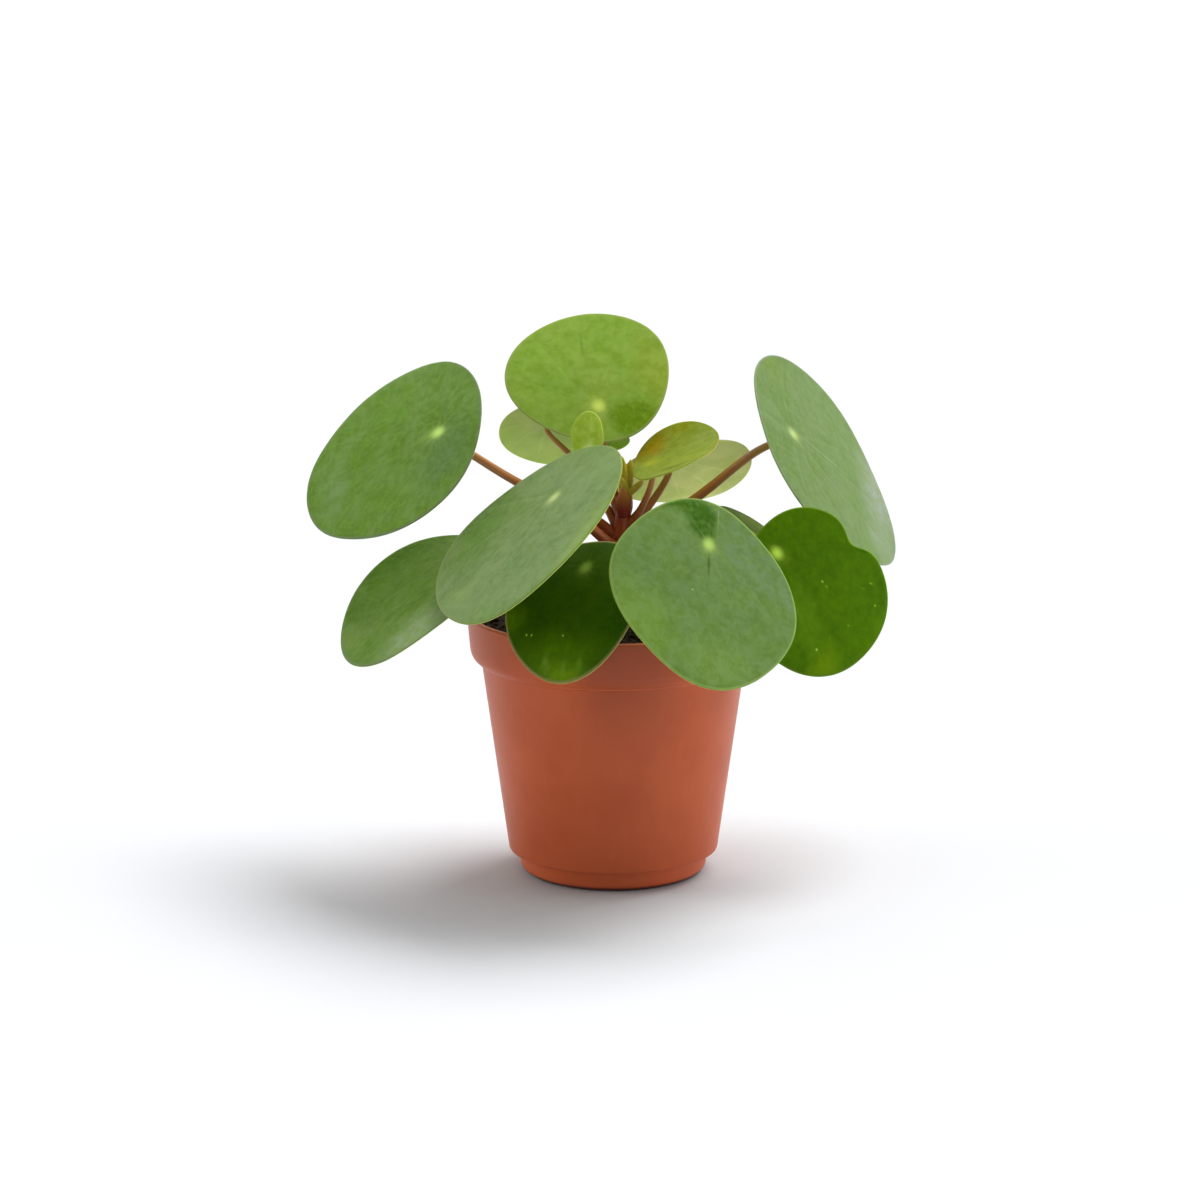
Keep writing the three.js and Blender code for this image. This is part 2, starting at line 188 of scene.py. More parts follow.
# One row for each leaf. hub is where the stalk meets the blade; face, tilt and turn are the compass
# direction that the blade looks to, its height above the horizon, and the midrib's turn from
# straight downhill. size is length and width; back is the share of the length behind the hub;
# egg narrows the tip end; curl lifts the margins along and across; lobes are [waves round the
# margin, share of the radius, angle of the first crest]; notch is its angle, spread and depth;
# stalk is [radius at the stem, radius at the blade, last straight length]; root is its height on
# the stem, and bends lie on its way.
LEAVES = [
    dict(
        name="upper_left", hub=(-70.9, 1.5, 183.1), face=220, tilt=40, turn=-55,
        size=(90.4, 85.6), back=0.25, egg=-0.03, curl=(-0.3, -1.3),
        lobes=[(3, 0.025, 27), (4, 0.012, 85)],
        stalk=(2, 1.6, 5), root=139, bends=[(-7, -1, 147), (-39, 0, 162.5), (-57, 1.5, 173.4)],
    ),
    dict(
        name="top", hub=(-6, 17, 190.7), face=268, tilt=50, turn=194,
        size=(71.6, 67.6), back=0.25, egg=0.02, curl=(-2, -0.3),
        lobes=[(3, 0.029, -124), (4, 0.009, 55)],
        stalk=(1.8, 1.3, 5), root=147, bends=[(0, 4, 155), (-4, 16, 175)],
    ),
    dict(
        name="upper_right", hub=(73.6, 24, 178), face=340, tilt=33, turn=47,
        size=(102, 97), back=0.25, egg=-0.01, curl=(-1.5, -0.1),
        lobes=[(3, 0.018, -31), (4, 0.019, -125)],
        stalk=(2.3, 1.5, 4), root=134, bends=[(34.5, 8, 154.8), (58, 17, 171.4)],
    ),
    dict(
        name="front_left", hub=(-23.5, -49, 167), face=201, tilt=51, turn=21,
        size=(97, 91), back=0.3, egg=0.01, curl=(-2.4, 0.9),
        lobes=[(3, 0.023, 135), (4, 0.016, 79)],
        stalk=(2.2, 1.6, 5), root=135, bends=[(-3, -8, 140), (-13, -27, 153)],
    ),
    dict(
        name="lower_left", hub=(-59.3, -14, 134.6), face=211, tilt=66, turn=-2,
        size=(80, 75), back=0.21, curl=(-5.6, 2.1),
        lobes=[(3, 0.011, 52), (4, 0.009, -84)],
        stalk=(2.1, 1.5, 5), root=122, bends=[(-24, -5, 128)],
    ),
    dict(
        name="front_low", hub=(-11, -45.5, 137.5), face=234, tilt=51, turn=10,
        size=(64, 60), back=0.23, egg=-0.01, curl=(-4.9, 0.1),
        lobes=[(3, 0.016, 43)],
        stalk=(1.9, 1.3, 4), root=117, bends=[(-4, -20, 123)],
    ),
    dict(
        name="front_right", hub=(37.5, -61, 150.5), face=306, tilt=42, turn=-29,
        size=(85, 80), back=0.23, egg=0.02, curl=(-1.4, -2.1),
        lobes=[(4, 0.03, 21)],
        stalk=(2.2, 1.6, 5), root=130, bends=[(14, -26, 137)],
    ),
    dict(
        name="lower_right", hub=(65.4, -31, 140.2), face=295, tilt=18, turn=40,
        size=(69, 66), back=0.17, curl=(-1, -1.2),
        lobes=[(3, 0.01, 84), (4, 0.018, -167)], notch=(92, 13, 0.16),
        stalk=(2, 1.4, 5), root=120, bends=[(30, -10, 128), (56, -20, 136)],
    ),
    dict(
        name="back_left", hub=(-27, 40, 179.5), face=84, tilt=48, turn=-11,
        size=(50, 46), back=0.3, curl=(0, -1.5),
        stalk=(1.8, 1, 4), root=141, bends=[(-2.5, 4, 151), (-16.5, 26, 167)],
    ),
    dict(
        name="young_upright", hub=(-9.5, -5.5, 176), face=235, tilt=0, turn=185,
        size=(21, 16), back=0.2, curl=(-0.6, 1.5),
        stalk=(1.1, 0.8, 3.2), root=151, bends=[(-1, -1, 162)],
    ),
    dict(
        name="young_right", hub=(14.6, -6, 171.4), face=205, tilt=64.5, turn=152,
        size=(38, 48), back=0.2, curl=(-0.1, 3),
        stalk=(1.6, 1.1, 4), root=143, bends=[(11, -3, 152)],
    ),
    dict(
        name="back_right", hub=(22.3, 27, 165.6), face=112, tilt=54, turn=-50,
        size=(60, 57), back=0.29, curl=(-2, -0.7),
        stalk=(1.8, 1.3, 4), root=141, bends=[(13, 8, 149)],
    ),
    dict(
        name="right_behind", hub=(56.5, 12.5, 138.3), face=351, tilt=54, turn=19,
        size=(54, 51), back=0.32, curl=(-1.5, -1.2),
        stalk=(1.8, 1.3, 4), root=126, bends=[(28, 6, 129)],
    ),
    dict(
        name="back", hub=(-5.5, 30, 177.3), face=85, tilt=60, turn=0,
        size=(25, 24), back=0.28, curl=(-1, -1),
        stalk=(1.7, 1.3, 4), root=149, bends=[(0.5, 9, 157), (-3, 20, 166)],
    ),
]

# How each blade looks. Colours are as seen in the photograph's light; sheen is the white gloss that
# they hold, which is taken off, and tone then scales each channel so that the blade comes out as
# seen, so each blade's colours keep the light and shade that fell on it, and the rest of its sheen,
# as painted light.
# gloss is how strongly the blade reflects, main and mottle are its two greens, rim is the colour of
# its margin and spot the one over the stalk. halo is the strength of the glow round that spot, and
# rays the share of pale veins near it.
BEHIND = dict(
    tone=(0.95, 0.8, 1.5), gloss=0.3, sheen=0.03, main=(96, 136, 44), mottle=(84, 126, 36),
)
LOOKS = {
    "upper_left": dict(
        tone=(1.01, 0.84, 1.45), gloss=0.2, sheen=0.025,
        main=(104, 141, 58), mottle=(94, 134, 44), rim=(112, 128, 88), spot=(188, 236, 102),
    ),
    "top": dict(
        tone=(0.89, 0.73, 0.87), gloss=0.12, sheen=0.009,
        main=(118, 159, 54), mottle=(125, 162, 62), rim=(140, 158, 90), spot=(194, 228, 101),
    ),
    "upper_right": dict(
        tone=(0.76, 0.63, 1.2), gloss=0.3, sheen=0.08,
        main=(126, 157, 92), mottle=(119, 153, 84), rim=(150, 170, 126), spot=(191, 229, 122),
    ),
    "front_left": dict(
        tone=(0.9, 0.79, 0.85), gloss=0.35, sheen=0.06,
        main=(120, 147, 92), mottle=(110, 140, 82), rim=(128, 148, 88), spot=(187, 214, 137),
    ),
    "lower_left": dict(
        tone=(1.16, 0.99, 1.5), gloss=0.1, sheen=0.015,
        main=(88, 120, 46), mottle=(80, 116, 36), rim=(104, 122, 80),
    ),
    # Dark greens: painted shade of the leaf above it
    "front_low": dict(
        tone=(2.16, 1.63, 0.28), gloss=0.15, sheen=0.001,
        main=(30, 58, 2), mottle=(26, 54, 1),
        rays=0.3, spot=(78, 112, 93), halo=0.3, rim=(92, 92, 150),
    ),
    "front_right": dict(
        tone=(0.79, 0.72, 0.72), gloss=0.12, sheen=0.009,
        main=(106, 138, 74), mottle=(102, 134, 76), rim=(134, 164, 92), spot=(179, 218, 112),
    ),
    "lower_right": dict(
        tone=(1.12, 0.96, 0.29), gloss=0.1, sheen=0.003,
        main=(68, 107, 2), mottle=(62, 101, 1),
        rays=0.4, spot=(175, 220, 149), halo=0.12, rim=(84, 114, 44),
    ),
    "back_left": dict(BEHIND, rim=(150, 160, 90)),
    "young_upright": dict(
        tone=(1.15, 0.85, 2.24), gloss=0.2, sheen=0.007,
        main=(132, 163, 50), mottle=(128, 156, 44), rim=(132, 160, 54),
    ),
    "young_right": dict(
        tone=(0.62, 0.59, 0.61), gloss=0.02, sheen=0.01,
        main=(136, 154, 50), mottle=(130, 152, 60), rim=(140, 140, 56), spot=(170, 182, 45),
    ),
    "back_right": dict(BEHIND, rim=(160, 168, 100)),
    "right_behind": dict(
        tone=(1.53, 1.4, 0.2), gloss=0.02, sheen=0.008,
        main=(92, 116, 24), mottle=(80, 106, 14), rim=(120, 130, 50),
    ),
    "back": dict(
        tone=(0.95, 0.8, 1.5), gloss=0.2, sheen=0.02,
        main=(86, 112, 18), mottle=(76, 104, 14), rim=(120, 130, 50),
    ),
}
# Marks are soft ellipses on a blade, in millimetres from its hub: [along the midrib, across, half
# length, half width, turn from the midrib, colour, strength], and 8th, where it isn't
# MARK_SOFTNESS, how soft the edge is
MARKS = {
    "upper_left": [
        (-5, 14, 26, 17, 60, (92, 125, 66), 0.7),
        (25, -22, 17, 11, 20, (98, 142, 44), 0.6),
        (28, 24, 18, 13, -20, (98, 139, 42), 0.6),
        (54, 6, 12, 24, 0, (122, 152, 84), 0.5),
        (7, 0, 9, 2.2, 4, (118, 158, 58), 0.7),
    ],
    "top": [
        (12, -28, 30, 16, 0, (138, 163, 56), 0.7),
        (12, -7, 14, 9, 0, (134, 168, 66), 0.6),
        (-4, 2, 14, 10, 0, (142, 172, 70), 0.5),
        (-9, -13, 11, 13, 0, (98, 136, 0), 1.0, 0.5),
        (36, -0.5, 10, 0.9, -8, (98, 142, 50), 0.7),
    ],
    "upper_right": [
        (68, 8, 20, 46, -12, (156, 177, 128), 0.8),
        (62, -26, 22, 16, 0, (146, 172, 116), 0.6),
        (-6, 32, 16, 12, 0, (128, 158, 80), 0.6),
        (24, 1.5, 26, 1.0, 0, (152, 178, 112), 0.7),
        (4.5, -5, 6, 0.9, -62, (150, 178, 112), 0.5),
    ],
    "front_left": [
        (14, -34, 36, 14, 12, (100, 136, 64), 0.8),
        (30, 46, 44, 15, 8, (136, 166, 88), 0.8),
        (-14, 22, 18, 26, 0, (130, 158, 102), 0.5),
        (52, -18, 9, 13, 20, (132, 162, 92), 0.6),
        (66, 10, 14, 20, 0, (116, 150, 78), 0.6),
    ],
    "lower_left": [
        (14, -34, 34, 14, -14, (70, 103, 8), 0.9),
        (44, 26, 30, 22, 0, (112, 138, 80), 0.95),
        (56, -14, 10, 18, 0, (110, 140, 64), 0.6),
        # Painted shade along a fold
        (32, 5, 17, 1.0, -3, (68, 102, 34), 0.8),
    ],
    "front_low": [
        # Painted light: the first three marks lighten it toward its tip and edge, out of the shade
        # of the leaf above
        (40, -2, 15, 30, 0, (52, 86, 4), 0.9),
        (25, -27, 14, 9, 0, (60, 92, 10), 0.8),
        (47, 1, 7, 17, 0, (76, 112, 22), 0.7),
        (43, -7, 5, 2.4, 8, (88, 130, 116), 0.35),
        (44, 1, 4, 2.2, 0, (80, 122, 98), 0.3),
        (43, 8, 5, 2.4, -8, (78, 120, 80), 0.3),
        (31.6, -17.7, 0.7, 0.5, 0, (156, 205, 151), 0.8),
        (31.6, -15.4, 0.7, 0.5, 0, (152, 200, 173), 0.8),
        (31.5, -1.3, 0.7, 0.6, 0, (124, 160, 184), 0.8),
    ],
    "front_right": [
        (45, -26, 30, 20, 40, (116, 151, 66), 0.8),
        (54, 6, 16, 24, 0, (116, 149, 72), 0.7),
        # Painted shade: a dark wedge by the hub, where the leaf above shuts out the sheen, cut off
        # by a hard edge
        (-17, -14, 10, 20, -10, (66, 106, 24), 1.0, 0.6),
        (-9, -3, 11, 9, 0, (60, 102, 16), 1.0, 0.6),
        (-14, 36, 32.6, 32.6, 0, (106, 137, 84), 1.0, 0.02),
        (10, 0.2, 8, 0.9, 2, (66, 98, 44), 0.9),
        (-14, 3.5, 13, 0.5, 0, (150, 175, 124), 0.5),
        (24.5, -6.2, 0.8, 0.8, 0, (170, 200, 120), 0.8),
    ],
    "lower_right": [
        (26, -10, 22, 9, -30, (84, 124, 34), 0.8),
        (46, -20, 10, 16, 20, (98, 133, 22), 0.8),
        (54, 8, 8, 22, 0, (78, 120, 4), 0.6),
        (4.5, 1, 5.5, 3.2, 0, (92, 132, 20), 0.5),
        (22.4, 5.7, 0.9, 0.7, 0, (152, 195, 130), 0.9),
        (25.1, 5.5, 1.3, 0.5, 0, (120, 160, 60), 0.7),
        (39.1, 21.2, 1.4, 0.5, 30, (140, 175, 80), 0.8),
        (37.8, 17.0, 1.3, 0.4, 30, (120, 160, 60), 0.6),
        (46.4, 15.8, 0.8, 0.7, 0, (156, 200, 95), 0.8),
        (42.9, 0.9, 0.8, 0.7, 0, (120, 165, 70), 0.8),
        (40.0, -8.7, 1.6, 0.4, -50, (110, 150, 50), 0.6),
        (39.1, -16.4, 0.8, 0.8, 0, (156, 194, 140), 0.9),
    ],
    "young_right": [
        (1, 13.5, 16, 12, 56, (156, 134, 4), 1.0),
        (15, 22, 12.5, 9, 0, (150, 150, 30), 0.7),
        (24.5, 4, 11, 14, 0, (138, 158, 70), 0.7),
        (3, -2, 9, 0.8, 76, (164, 174, 60), 0.5),
        (12, -16.5, 12.5, 4, -14, (96, 112, 24), 0.8),
    ],
}
# Underside colours: paler than the tops, as such leaves are, and lightened further with a painted
# glow of light shining through them from behind
UNDERSIDES = {
    "back_left": dict(
        tone=(1.71, 1.31, 2.66), gloss=0.2, sheen=0.02, main=(140, 160, 84), mottle=(130, 152, 76),
    ),
    "back_right": dict(
        tone=(2.24, 1.8, 4.71), gloss=0.1, sheen=0.02, main=(150, 162, 92), mottle=(138, 152, 80),
    ),
    # Dark with painted shade, under the leaves above
    "back": dict(
        tone=(1.9, 1.5, 0.7), gloss=0.1, sheen=0.01, main=(88, 110, 17), mottle=(80, 102, 14),
    ),
    "others": dict(
        tone=(1.5, 1.3, 1.7), gloss=0.2, sheen=0.02, main=(144, 162, 90), mottle=(134, 154, 80),
    ),
}
SPOT_COLOUR = (184, 216, 104)
MARK_SOFTNESS = 0.9
MARK_WANDER = (9, 9, 0)
DARKEST = 0.0008
REFRACTION = 1.45
# Factors between which the whole upper face drifts at random: a painted sheen, greyer in places
SHEEN_DRIFT = ((0.9, 0.92, 0.7, 1), (1.11, 1.08, 1.36, 1))
LEAF_GLOW = 0.9
LEAF_GLOW_SPREAD = (1.0, 1.3, 0.4)
LEAF_GLOW_REACH = 2.2


# Shaders

def linear(colour):
    """A colour of 0 to 255 per channel as the linear RGBA that shaders take."""
    shares = [value / 255 for value in colour]
    return (*[s / 12.92 if s <= 0.04045 else ((s + 0.055) / 1.055) ** 2.4 for s in shares], 1)


class Shader:
    """Builds the nodes of one material, or of the world that is given as its owner."""

    def __init__(self, name, owner=None):
        self.material = owner or bpy.data.materials.new(name)
        self.material.use_nodes = True
        self.tree = self.material.node_tree
        self.tree.nodes.clear()

    def node(self, kind, inputs=None, **settings):
        made = self.tree.nodes.new("ShaderNode" + kind)
        for key, value in settings.items():
            setattr(made, key, value)
        for key, value in (inputs or {}).items():
            if isinstance(value, bpy.types.NodeSocket):
                self.tree.links.new(value, made.inputs[key])
            else:
                made.inputs[key].default_value = value
        return made

    def math(self, operation, a, b=0.0):
        return self.node("Math", {0: a, 1: b}, operation=operation).outputs[0]

    def times(self, a, b):
        return self.math("MULTIPLY", a, b)

    def plus(self, a, b):
        return self.math("ADD", a, b)

    def minus(self, a, b):
        return self.math("SUBTRACT", a, b)

    def line(self, value, slope, start):
        return self.plus(self.times(value, slope), start)

    def smooth(self, value, low, high):
        """0 at low and 1 at high, with a soft step between; low may be the larger of them."""
        inputs = {"Value": value, "From Min": low, "From Max": high}
        return self.node("MapRange", inputs, interpolation_type="SMOOTHSTEP").outputs[0]

    def mix(self, share, a, b, blend="MIX"):
        """A mix of two colours: sockets, linear RGBA, or three values of 0 to 255 as seen."""
        a, b = (linear(c) if isinstance(c, tuple) and len(c) == 3 else c for c in (a, b))
        inputs = {0: share, 6: a, 7: b}
        return self.node("Mix", inputs, data_type="RGBA", blend_type=blend).outputs[2]

    def tint(self, colour, other, value, low, high, share=1.0):
        """The colour with up to a share of another in it, as a value goes from low to high."""
        return self.mix(self.times(self.smooth(value, low, high), share), colour, other)

    def attribute(self, name, output="Vector"):
        return self.node("Attribute", attribute_name=name).outputs[output]

    def place(self, kind="Object"):
        return self.node("TexCoord").outputs[kind]

    def vector(self, x, y, z=0.0):
        return self.node("CombineXYZ", {0: x, 1: y, 2: z}).outputs[0]

    def split(self, vector):
        return self.node("SeparateXYZ", {0: vector}).outputs

    def vectors(self, operation, a, b):
        return self.node("VectorMath", {0: a, 1: b}, operation=operation).outputs[0]

    def noise(self, vector, scale, detail=2.0, rough=0.5, twist=0.0, output="Fac"):
        inputs = {"Scale": scale, "Detail": detail, "Roughness": rough, "Distortion": twist}
        return self.node("TexNoise", {"Vector": vector, **inputs}).outputs[output]

    def ellipse(self, place, along, across, half_length, half_width, turn=0, soft=1.0):
        """1 inside an ellipse and 0 outside it."""
        inputs = {
            "Vector": place, "Location": (along, across, 0),
            "Rotation": (0, 0, math.radians(turn)), "Scale": (half_length, half_width, 1),
        }
        inside = self.node("Mapping", inputs, vector_type="TEXTURE").outputs[0]
        reach = self.node("VectorMath", {0: inside}, operation="LENGTH").outputs["Value"]
        return self.smooth(reach, 1.0, 1.0 - soft)

    def bumped(self, colour, rough, height, distance, strength, **more):
        """A skin that is bumped by a height of 0 to 1, where 1 is a distance in millimetres."""
        inputs = {"Height": height, "Distance": distance * MM, "Strength": strength}
        named = {key.replace("_", " "): value for key, value in more.items()}
        named["Normal"] = self.node("Bump", inputs).outputs[0]
        inputs = {"Base Color": colour, "Roughness": rough, **named}
        return self.node("BsdfPrincipled", inputs).outputs[0]

    def translucent(self, skin, colour, share):
        """The skin, with a share of light coming through it from behind."""
        glow = self.node("BsdfTranslucent", {"Color": colour}).outputs[0]
        return self.surface(self.node("MixShader", {0: share, 1: skin, 2: glow}).outputs[0])

    def surface(self, shader, output="OutputMaterial"):
        self.tree.links.new(shader, self.node(output).inputs["Surface"])
        return self.material


# Meshes

def new_piece(name, points, faces, materials, attributes=None):
    """A mesh object from points in millimetres, linked into the scene."""
    mesh = bpy.data.meshes.new(name)
    mesh.from_pydata((np.asarray(points, float) * MM).tolist(), [], faces)
    mesh.update()
    for key, values in (attributes or {}).items():
        values = np.asarray(values, np.float32)
        kind, field = ("FLOAT_VECTOR", "vector") if values.ndim == 2 else ("FLOAT", "value")
        mesh.attributes.new(key, kind, "POINT").data.foreach_set(field, values.ravel())
    for material in materials:
        mesh.materials.append(material)
    mesh.shade_smooth()
    made = bpy.data.objects.new(name, mesh)
    bpy.context.scene.collection.objects.link(made)
    return made


def ring_faces(rows, sides, first=0):
    """Quads between successive rings of points, closed round."""
    faces = []
    for i in range(rows - 1):
        for j in range(sides):
            k = (j + 1) % sides
            a = first + i * sides
            faces.append((a + j, a + k, a + sides + k, a + sides + j))
    return faces


def fan(centre, first, sides, flip):
    """Triangles between a centre point and a ring of points."""
    faces = []
    for j in range(sides):
        k = (j + 1) % sides
        faces.append((centre, first + k, first + j) if flip else (centre, first + j, first + k))
    return faces


def unit(vector):
    return vector / np.linalg.norm(vector)


def lathe(profile, sides):
    """Points and faces of a profile of (radius, height) turned round the axis, ends on the axis."""
    turns = 2 * np.pi * np.arange(sides) / sides
    points = [(0, 0, profile[0][1])]
    for radius, height in profile[1:-1]:
        points += [(radius * math.cos(a), radius * math.sin(a), height) for a in turns]
    last = len(points)
    points.append((0, 0, profile[-1][1]))
    faces = ring_faces(len(profile) - 2, sides, 1)
    return points, faces + fan(0, 1, sides, True) + fan(last, last - sides, sides, False)


def rounded(profile, radius, steps=4):
    """The profile with each inner corner turned into an arc of about that radius."""
    profile = np.array(profile, float)
    result = [profile[0]]
    for before, corner, after in zip(profile, profile[1:], profile[2:]):
        sides = (before - corner, after - corner)
        reach = min(radius, *[np.linalg.norm(side) * 0.45 for side in sides])
        start, end = [corner + unit(side) * reach for side in sides]
        for t in np.arange(steps + 1) / steps:
            result.append((1 - t) ** 2 * start + 2 * t * (1 - t) * corner + t**2 * end)
    return result + [profile[-1]]


class Path:
    """A centripetal Catmull-Rom curve, read by arc length."""

    def __init__(self, points, fine=40):
        p = [np.array(point, float) for point in points]
        p = [2 * p[0] - p[1]] + p + [2 * p[-1] - p[-2]]
        samples = []
        for i in range(1, len(p) - 2):
            samples += [self.between(p[i - 1 : i + 3], step / fine) for step in range(fine)]
        self.samples = np.array(samples + [p[-2]])
        lengths = np.linalg.norm(np.diff(self.samples, axis=0), axis=1)
        self.reach = np.concatenate([[0], np.cumsum(lengths)])
        self.length = self.reach[-1]

    @staticmethod
    def between(p, u):
        knots = [0.0]
        for a, b in zip(p, p[1:]):
            knots.append(knots[-1] + max(np.linalg.norm(b - a), 1e-6) ** 0.5)
        t = knots[1] + (knots[2] - knots[1]) * u
        for starts, ends in ((knots, knots[1:]), (knots, knots[2:]), (knots[1:], knots[2:])):
            spans = zip(p, p[1:], starts, ends)
            p = [(a * (end - t) + b * (t - start)) / (end - start) for a, b, start, end in spans]
        return p[0]

    def at(self, u):
        return np.array([np.interp(u * self.length, self.reach, c) for c in self.samples.T])


def tube(path, steps, sides, radius_at, end_normal=None):
    """Rings of points along a path: (points, faces, [distance along, turn, share along])."""
    points, marks = [], []
    side = np.array(FIRST_SIDE)
    for i in range(steps + 1):
        u = i / steps
        centre = path.at(u)
        along = unit(path.at(min(u + 0.01, 1)) - path.at(max(u - 0.01, 0)))
        if i == steps and end_normal is not None:
            along = end_normal
        side = unit(side - along * side.dot(along))
        up = np.cross(along, side)
        for j in range(sides):
            turn = 2 * math.pi * j / sides
            radius = radius_at(u, turn)
            points.append(centre + radius * (side * math.cos(turn) + up * math.sin(turn)))
            marks.append((u * path.length, turn, u))
    faces = ring_faces(steps + 1, sides)
    for end, ring in ((0, 0), (1, steps * sides)):
        faces += fan(len(points), ring, sides, end == 0)
        points.append(path.at(end))
        marks.append((end * path.length, 0, end))
    return points, faces, marks


class Heap:
    """Gathers several meshes into one piece."""

    def __init__(self):
        self.points, self.faces, self.marks, self.tones = [], [], [], []

    def add(self, points, faces, marks=(), tone=0.0):
        first = len(self.points)
        self.points += list(points)
        self.faces += [tuple(first + i for i in face) for face in faces]
        self.marks += list(marks)
        self.tones += [tone] * len(points)

    def piece(self, name, material):
        attributes = {"mark": self.marks, "tone": self.tones}
        return new_piece(name, self.points, self.faces, [material], attributes)


# Blades

def blade_axes(leaf):
    """The way that a blade faces, the way along its midrib and the way across."""
    face, tilt, turn = (math.radians(leaf[key]) for key in ("face", "tilt", "turn"))
    ahead = np.array([math.cos(face), math.sin(face), 0])
    up = np.array([0, 0, 1])
    normal = ahead * math.cos(tilt) + up * math.sin(tilt)
    downhill = ahead * math.sin(tilt) - up * math.cos(tilt)
    along = downhill * math.cos(turn) + np.cross(normal, downhill) * math.sin(turn)
    return normal, along, np.cross(normal, along)


def margin_scale(leaf, angle):
    """How far the margin stands out at each angle, as a share of an ellipse."""
    scale = np.ones_like(angle)
    for waves, share, crest in leaf.get("lobes", []):
        scale += share * np.cos(waves * angle - math.radians(crest))
    if "notch" in leaf:
        at, spread, depth = leaf["notch"]
        offset = (np.degrees(angle) - at + 180) % 360 - 180
        scale -= depth * np.exp(-((offset / spread) ** 2))
    return scale


def vein_relief(x, y):
    """Shallow valleys over the main veins, in millimetres."""
    radius = np.hypot(x, y)
    angle = np.abs(np.arctan2(y, x))
    relief = np.zeros_like(radius)
    for start, bend in VEINS:
        line = math.radians(start) + math.radians(bend) * radius
        relief -= np.exp(-((radius * (angle - line) / VEIN_WIDTH) ** 2))
    return VEIN_DEPTH * relief * np.clip((radius - 3) / 8, 0, 1)


def blade_section():
    """Rows from the middle of the upper face round the margin to the middle underneath: each the
    share of the radius, then how far above the blade's middle and past its margin, in halves of
    its thickness."""
    rings = [(i / BLADE_RINGS) ** RING_CROWDING for i in range(1, BLADE_RINGS)]
    turns = [math.pi * i / EDGE_STEPS for i in range(EDGE_STEPS + 1)]
    upper = [(ring, 1.0, 0.0) for ring in rings]
    edge = [(1.0, math.cos(turn), math.sin(turn)) for turn in turns]
    return upper + edge + [(ring, -1.0, 0.0) for ring in reversed(rings)]


def make_blade(leaf, materials, seed):
    normal, along, across = blade_axes(leaf)
    hub = np.array(leaf["hub"], float)
    length, width = leaf["size"]
    grown = length / LARGE_BLADE
    half = BLADE_HALF * min(1, 0.5 + length / 120)
    sectors = 12 * round(max(length, SMALL_BLADE) * SECTOR_DOZENS)
    angle = 2 * np.pi * np.arange(sectors) / sectors
    scale = margin_scale(leaf, angle)
    edge_x = length / 2 * (1 - 2 * leaf["back"] + np.cos(angle) * scale)
    edge_y = width / 2 * np.sin(angle) * (1 + leaf.get("egg", 0) * np.cos(angle)) * scale
    reach = np.hypot(edge_x, edge_y)
    draw = random.Random(seed)
    waves = [(draw.randint(2, 3), draw.uniform(0.2, 0.5), draw.uniform(0, 6.3)) for _ in range(2)]
    waves.append((draw.randint(5, 7), draw.uniform(0.08, 0.2), draw.uniform(0, 6.3)))
    section = blade_section()
    points, marks = [], []
    for ring, over, out in section:
        share = ring * (1 - half / reach) + out * half / reach
        x, y = share * edge_x, share * edge_y
        lift = leaf["curl"][0] * (x / (length / 2)) ** 2 + leaf["curl"][1] * (y / (width / 2)) ** 2
        for count, height, start in waves:
            lift += height * grown * ring**3 * np.sin(count * angle + start)
        lift += grown * vein_relief(x, y)
        lift -= grown * DIMPLE_DEPTH * np.exp(-((np.hypot(x, y) / DIMPLE_RADIUS) ** 2))
        lift += over * half * (1 + HUB_SWELL * math.exp(-((ring / HUB_SPREAD) ** 2)))
        points.append(hub + np.outer(x, along) + np.outer(y, across) + np.outer(lift, normal))
        marks.append(np.stack([x, y, (1 - ring) * reach], axis=1))
    faces = [tuple(reversed(face)) for face in ring_faces(len(section), sectors)]
    upper = (BLADE_RINGS - 1 + EDGE_STEPS // 2) * sectors
    slots = [0] * upper + [1] * (len(faces) - upper)
    points, marks = np.concatenate(points), np.concatenate(marks)
    for slot, first, over in ((0, 0, 1), (1, len(points) - sectors, -1)):
        lift = over * half * (1 + HUB_SWELL) - grown * DIMPLE_DEPTH
        faces += fan(len(points), first, sectors, over < 0)
        slots += [slot] * sectors
        points = np.vstack([points, hub + lift * normal])
        marks = np.vstack([marks, (0, 0, reach.mean())])
    name = "blade_" + leaf["name"]
    made = new_piece(name + "_fine", points, faces, materials, {"blade": marks})
    made.data.polygons.foreach_set("material_index", slots)
    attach(made, "root")
    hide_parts(name)


class BladeSkin(Shader):
    """What the materials of both faces share: millimetres on the blade, and its veins."""

    def __init__(self, face, leaf, look, seed):
        super().__init__("leaf_" + face + "_" + leaf["name"])
        self.look = look
        x, y, self.margin = self.split(self.attribute("blade"))
        self.level = self.vector(x, y)
        self.flat = self.vector(x, y, NOISE_STEP * seed)
        self.radius = self.math("SQRT", self.plus(self.times(x, x), self.times(y, y)))
        wander = self.times(self.minus(self.noise(self.flat, 0.09), 0.5), VEIN_WANDER)
        angle = self.math("ABSOLUTE", self.math("ARCTAN2", y, x))
        self.gap = FAR
        for start, bend in VEINS:
            line = self.line(self.radius, math.radians(bend), math.radians(start))
            gap = self.plus(self.times(self.minus(angle, line), self.radius), wander)
            self.gap = self.math("MINIMUM", self.gap, self.math("ABSOLUTE", gap))

    def lit_colour(self, seen):
        """The skin's colour, from how it looks in the photograph's light: less its sheen, it keeps
        that light and shade as painted light.
        """
        plain = [max(c - self.look["sheen"], DARKEST) for c in linear(seen)[:3]]
        return (*[c * t for c, t in zip(plain, self.look["tone"])], 1)

    def finished(self, colour, rough, height, strength):
        return self.surface(self.bumped(
            colour, rough, height, 0.5, strength, IOR=REFRACTION,
            Specular_IOR_Level=self.look["gloss"], Subsurface_Weight=LEAF_GLOW,
            Subsurface_Radius=LEAF_GLOW_SPREAD, Subsurface_Scale=LEAF_GLOW_REACH * MM,
        ))


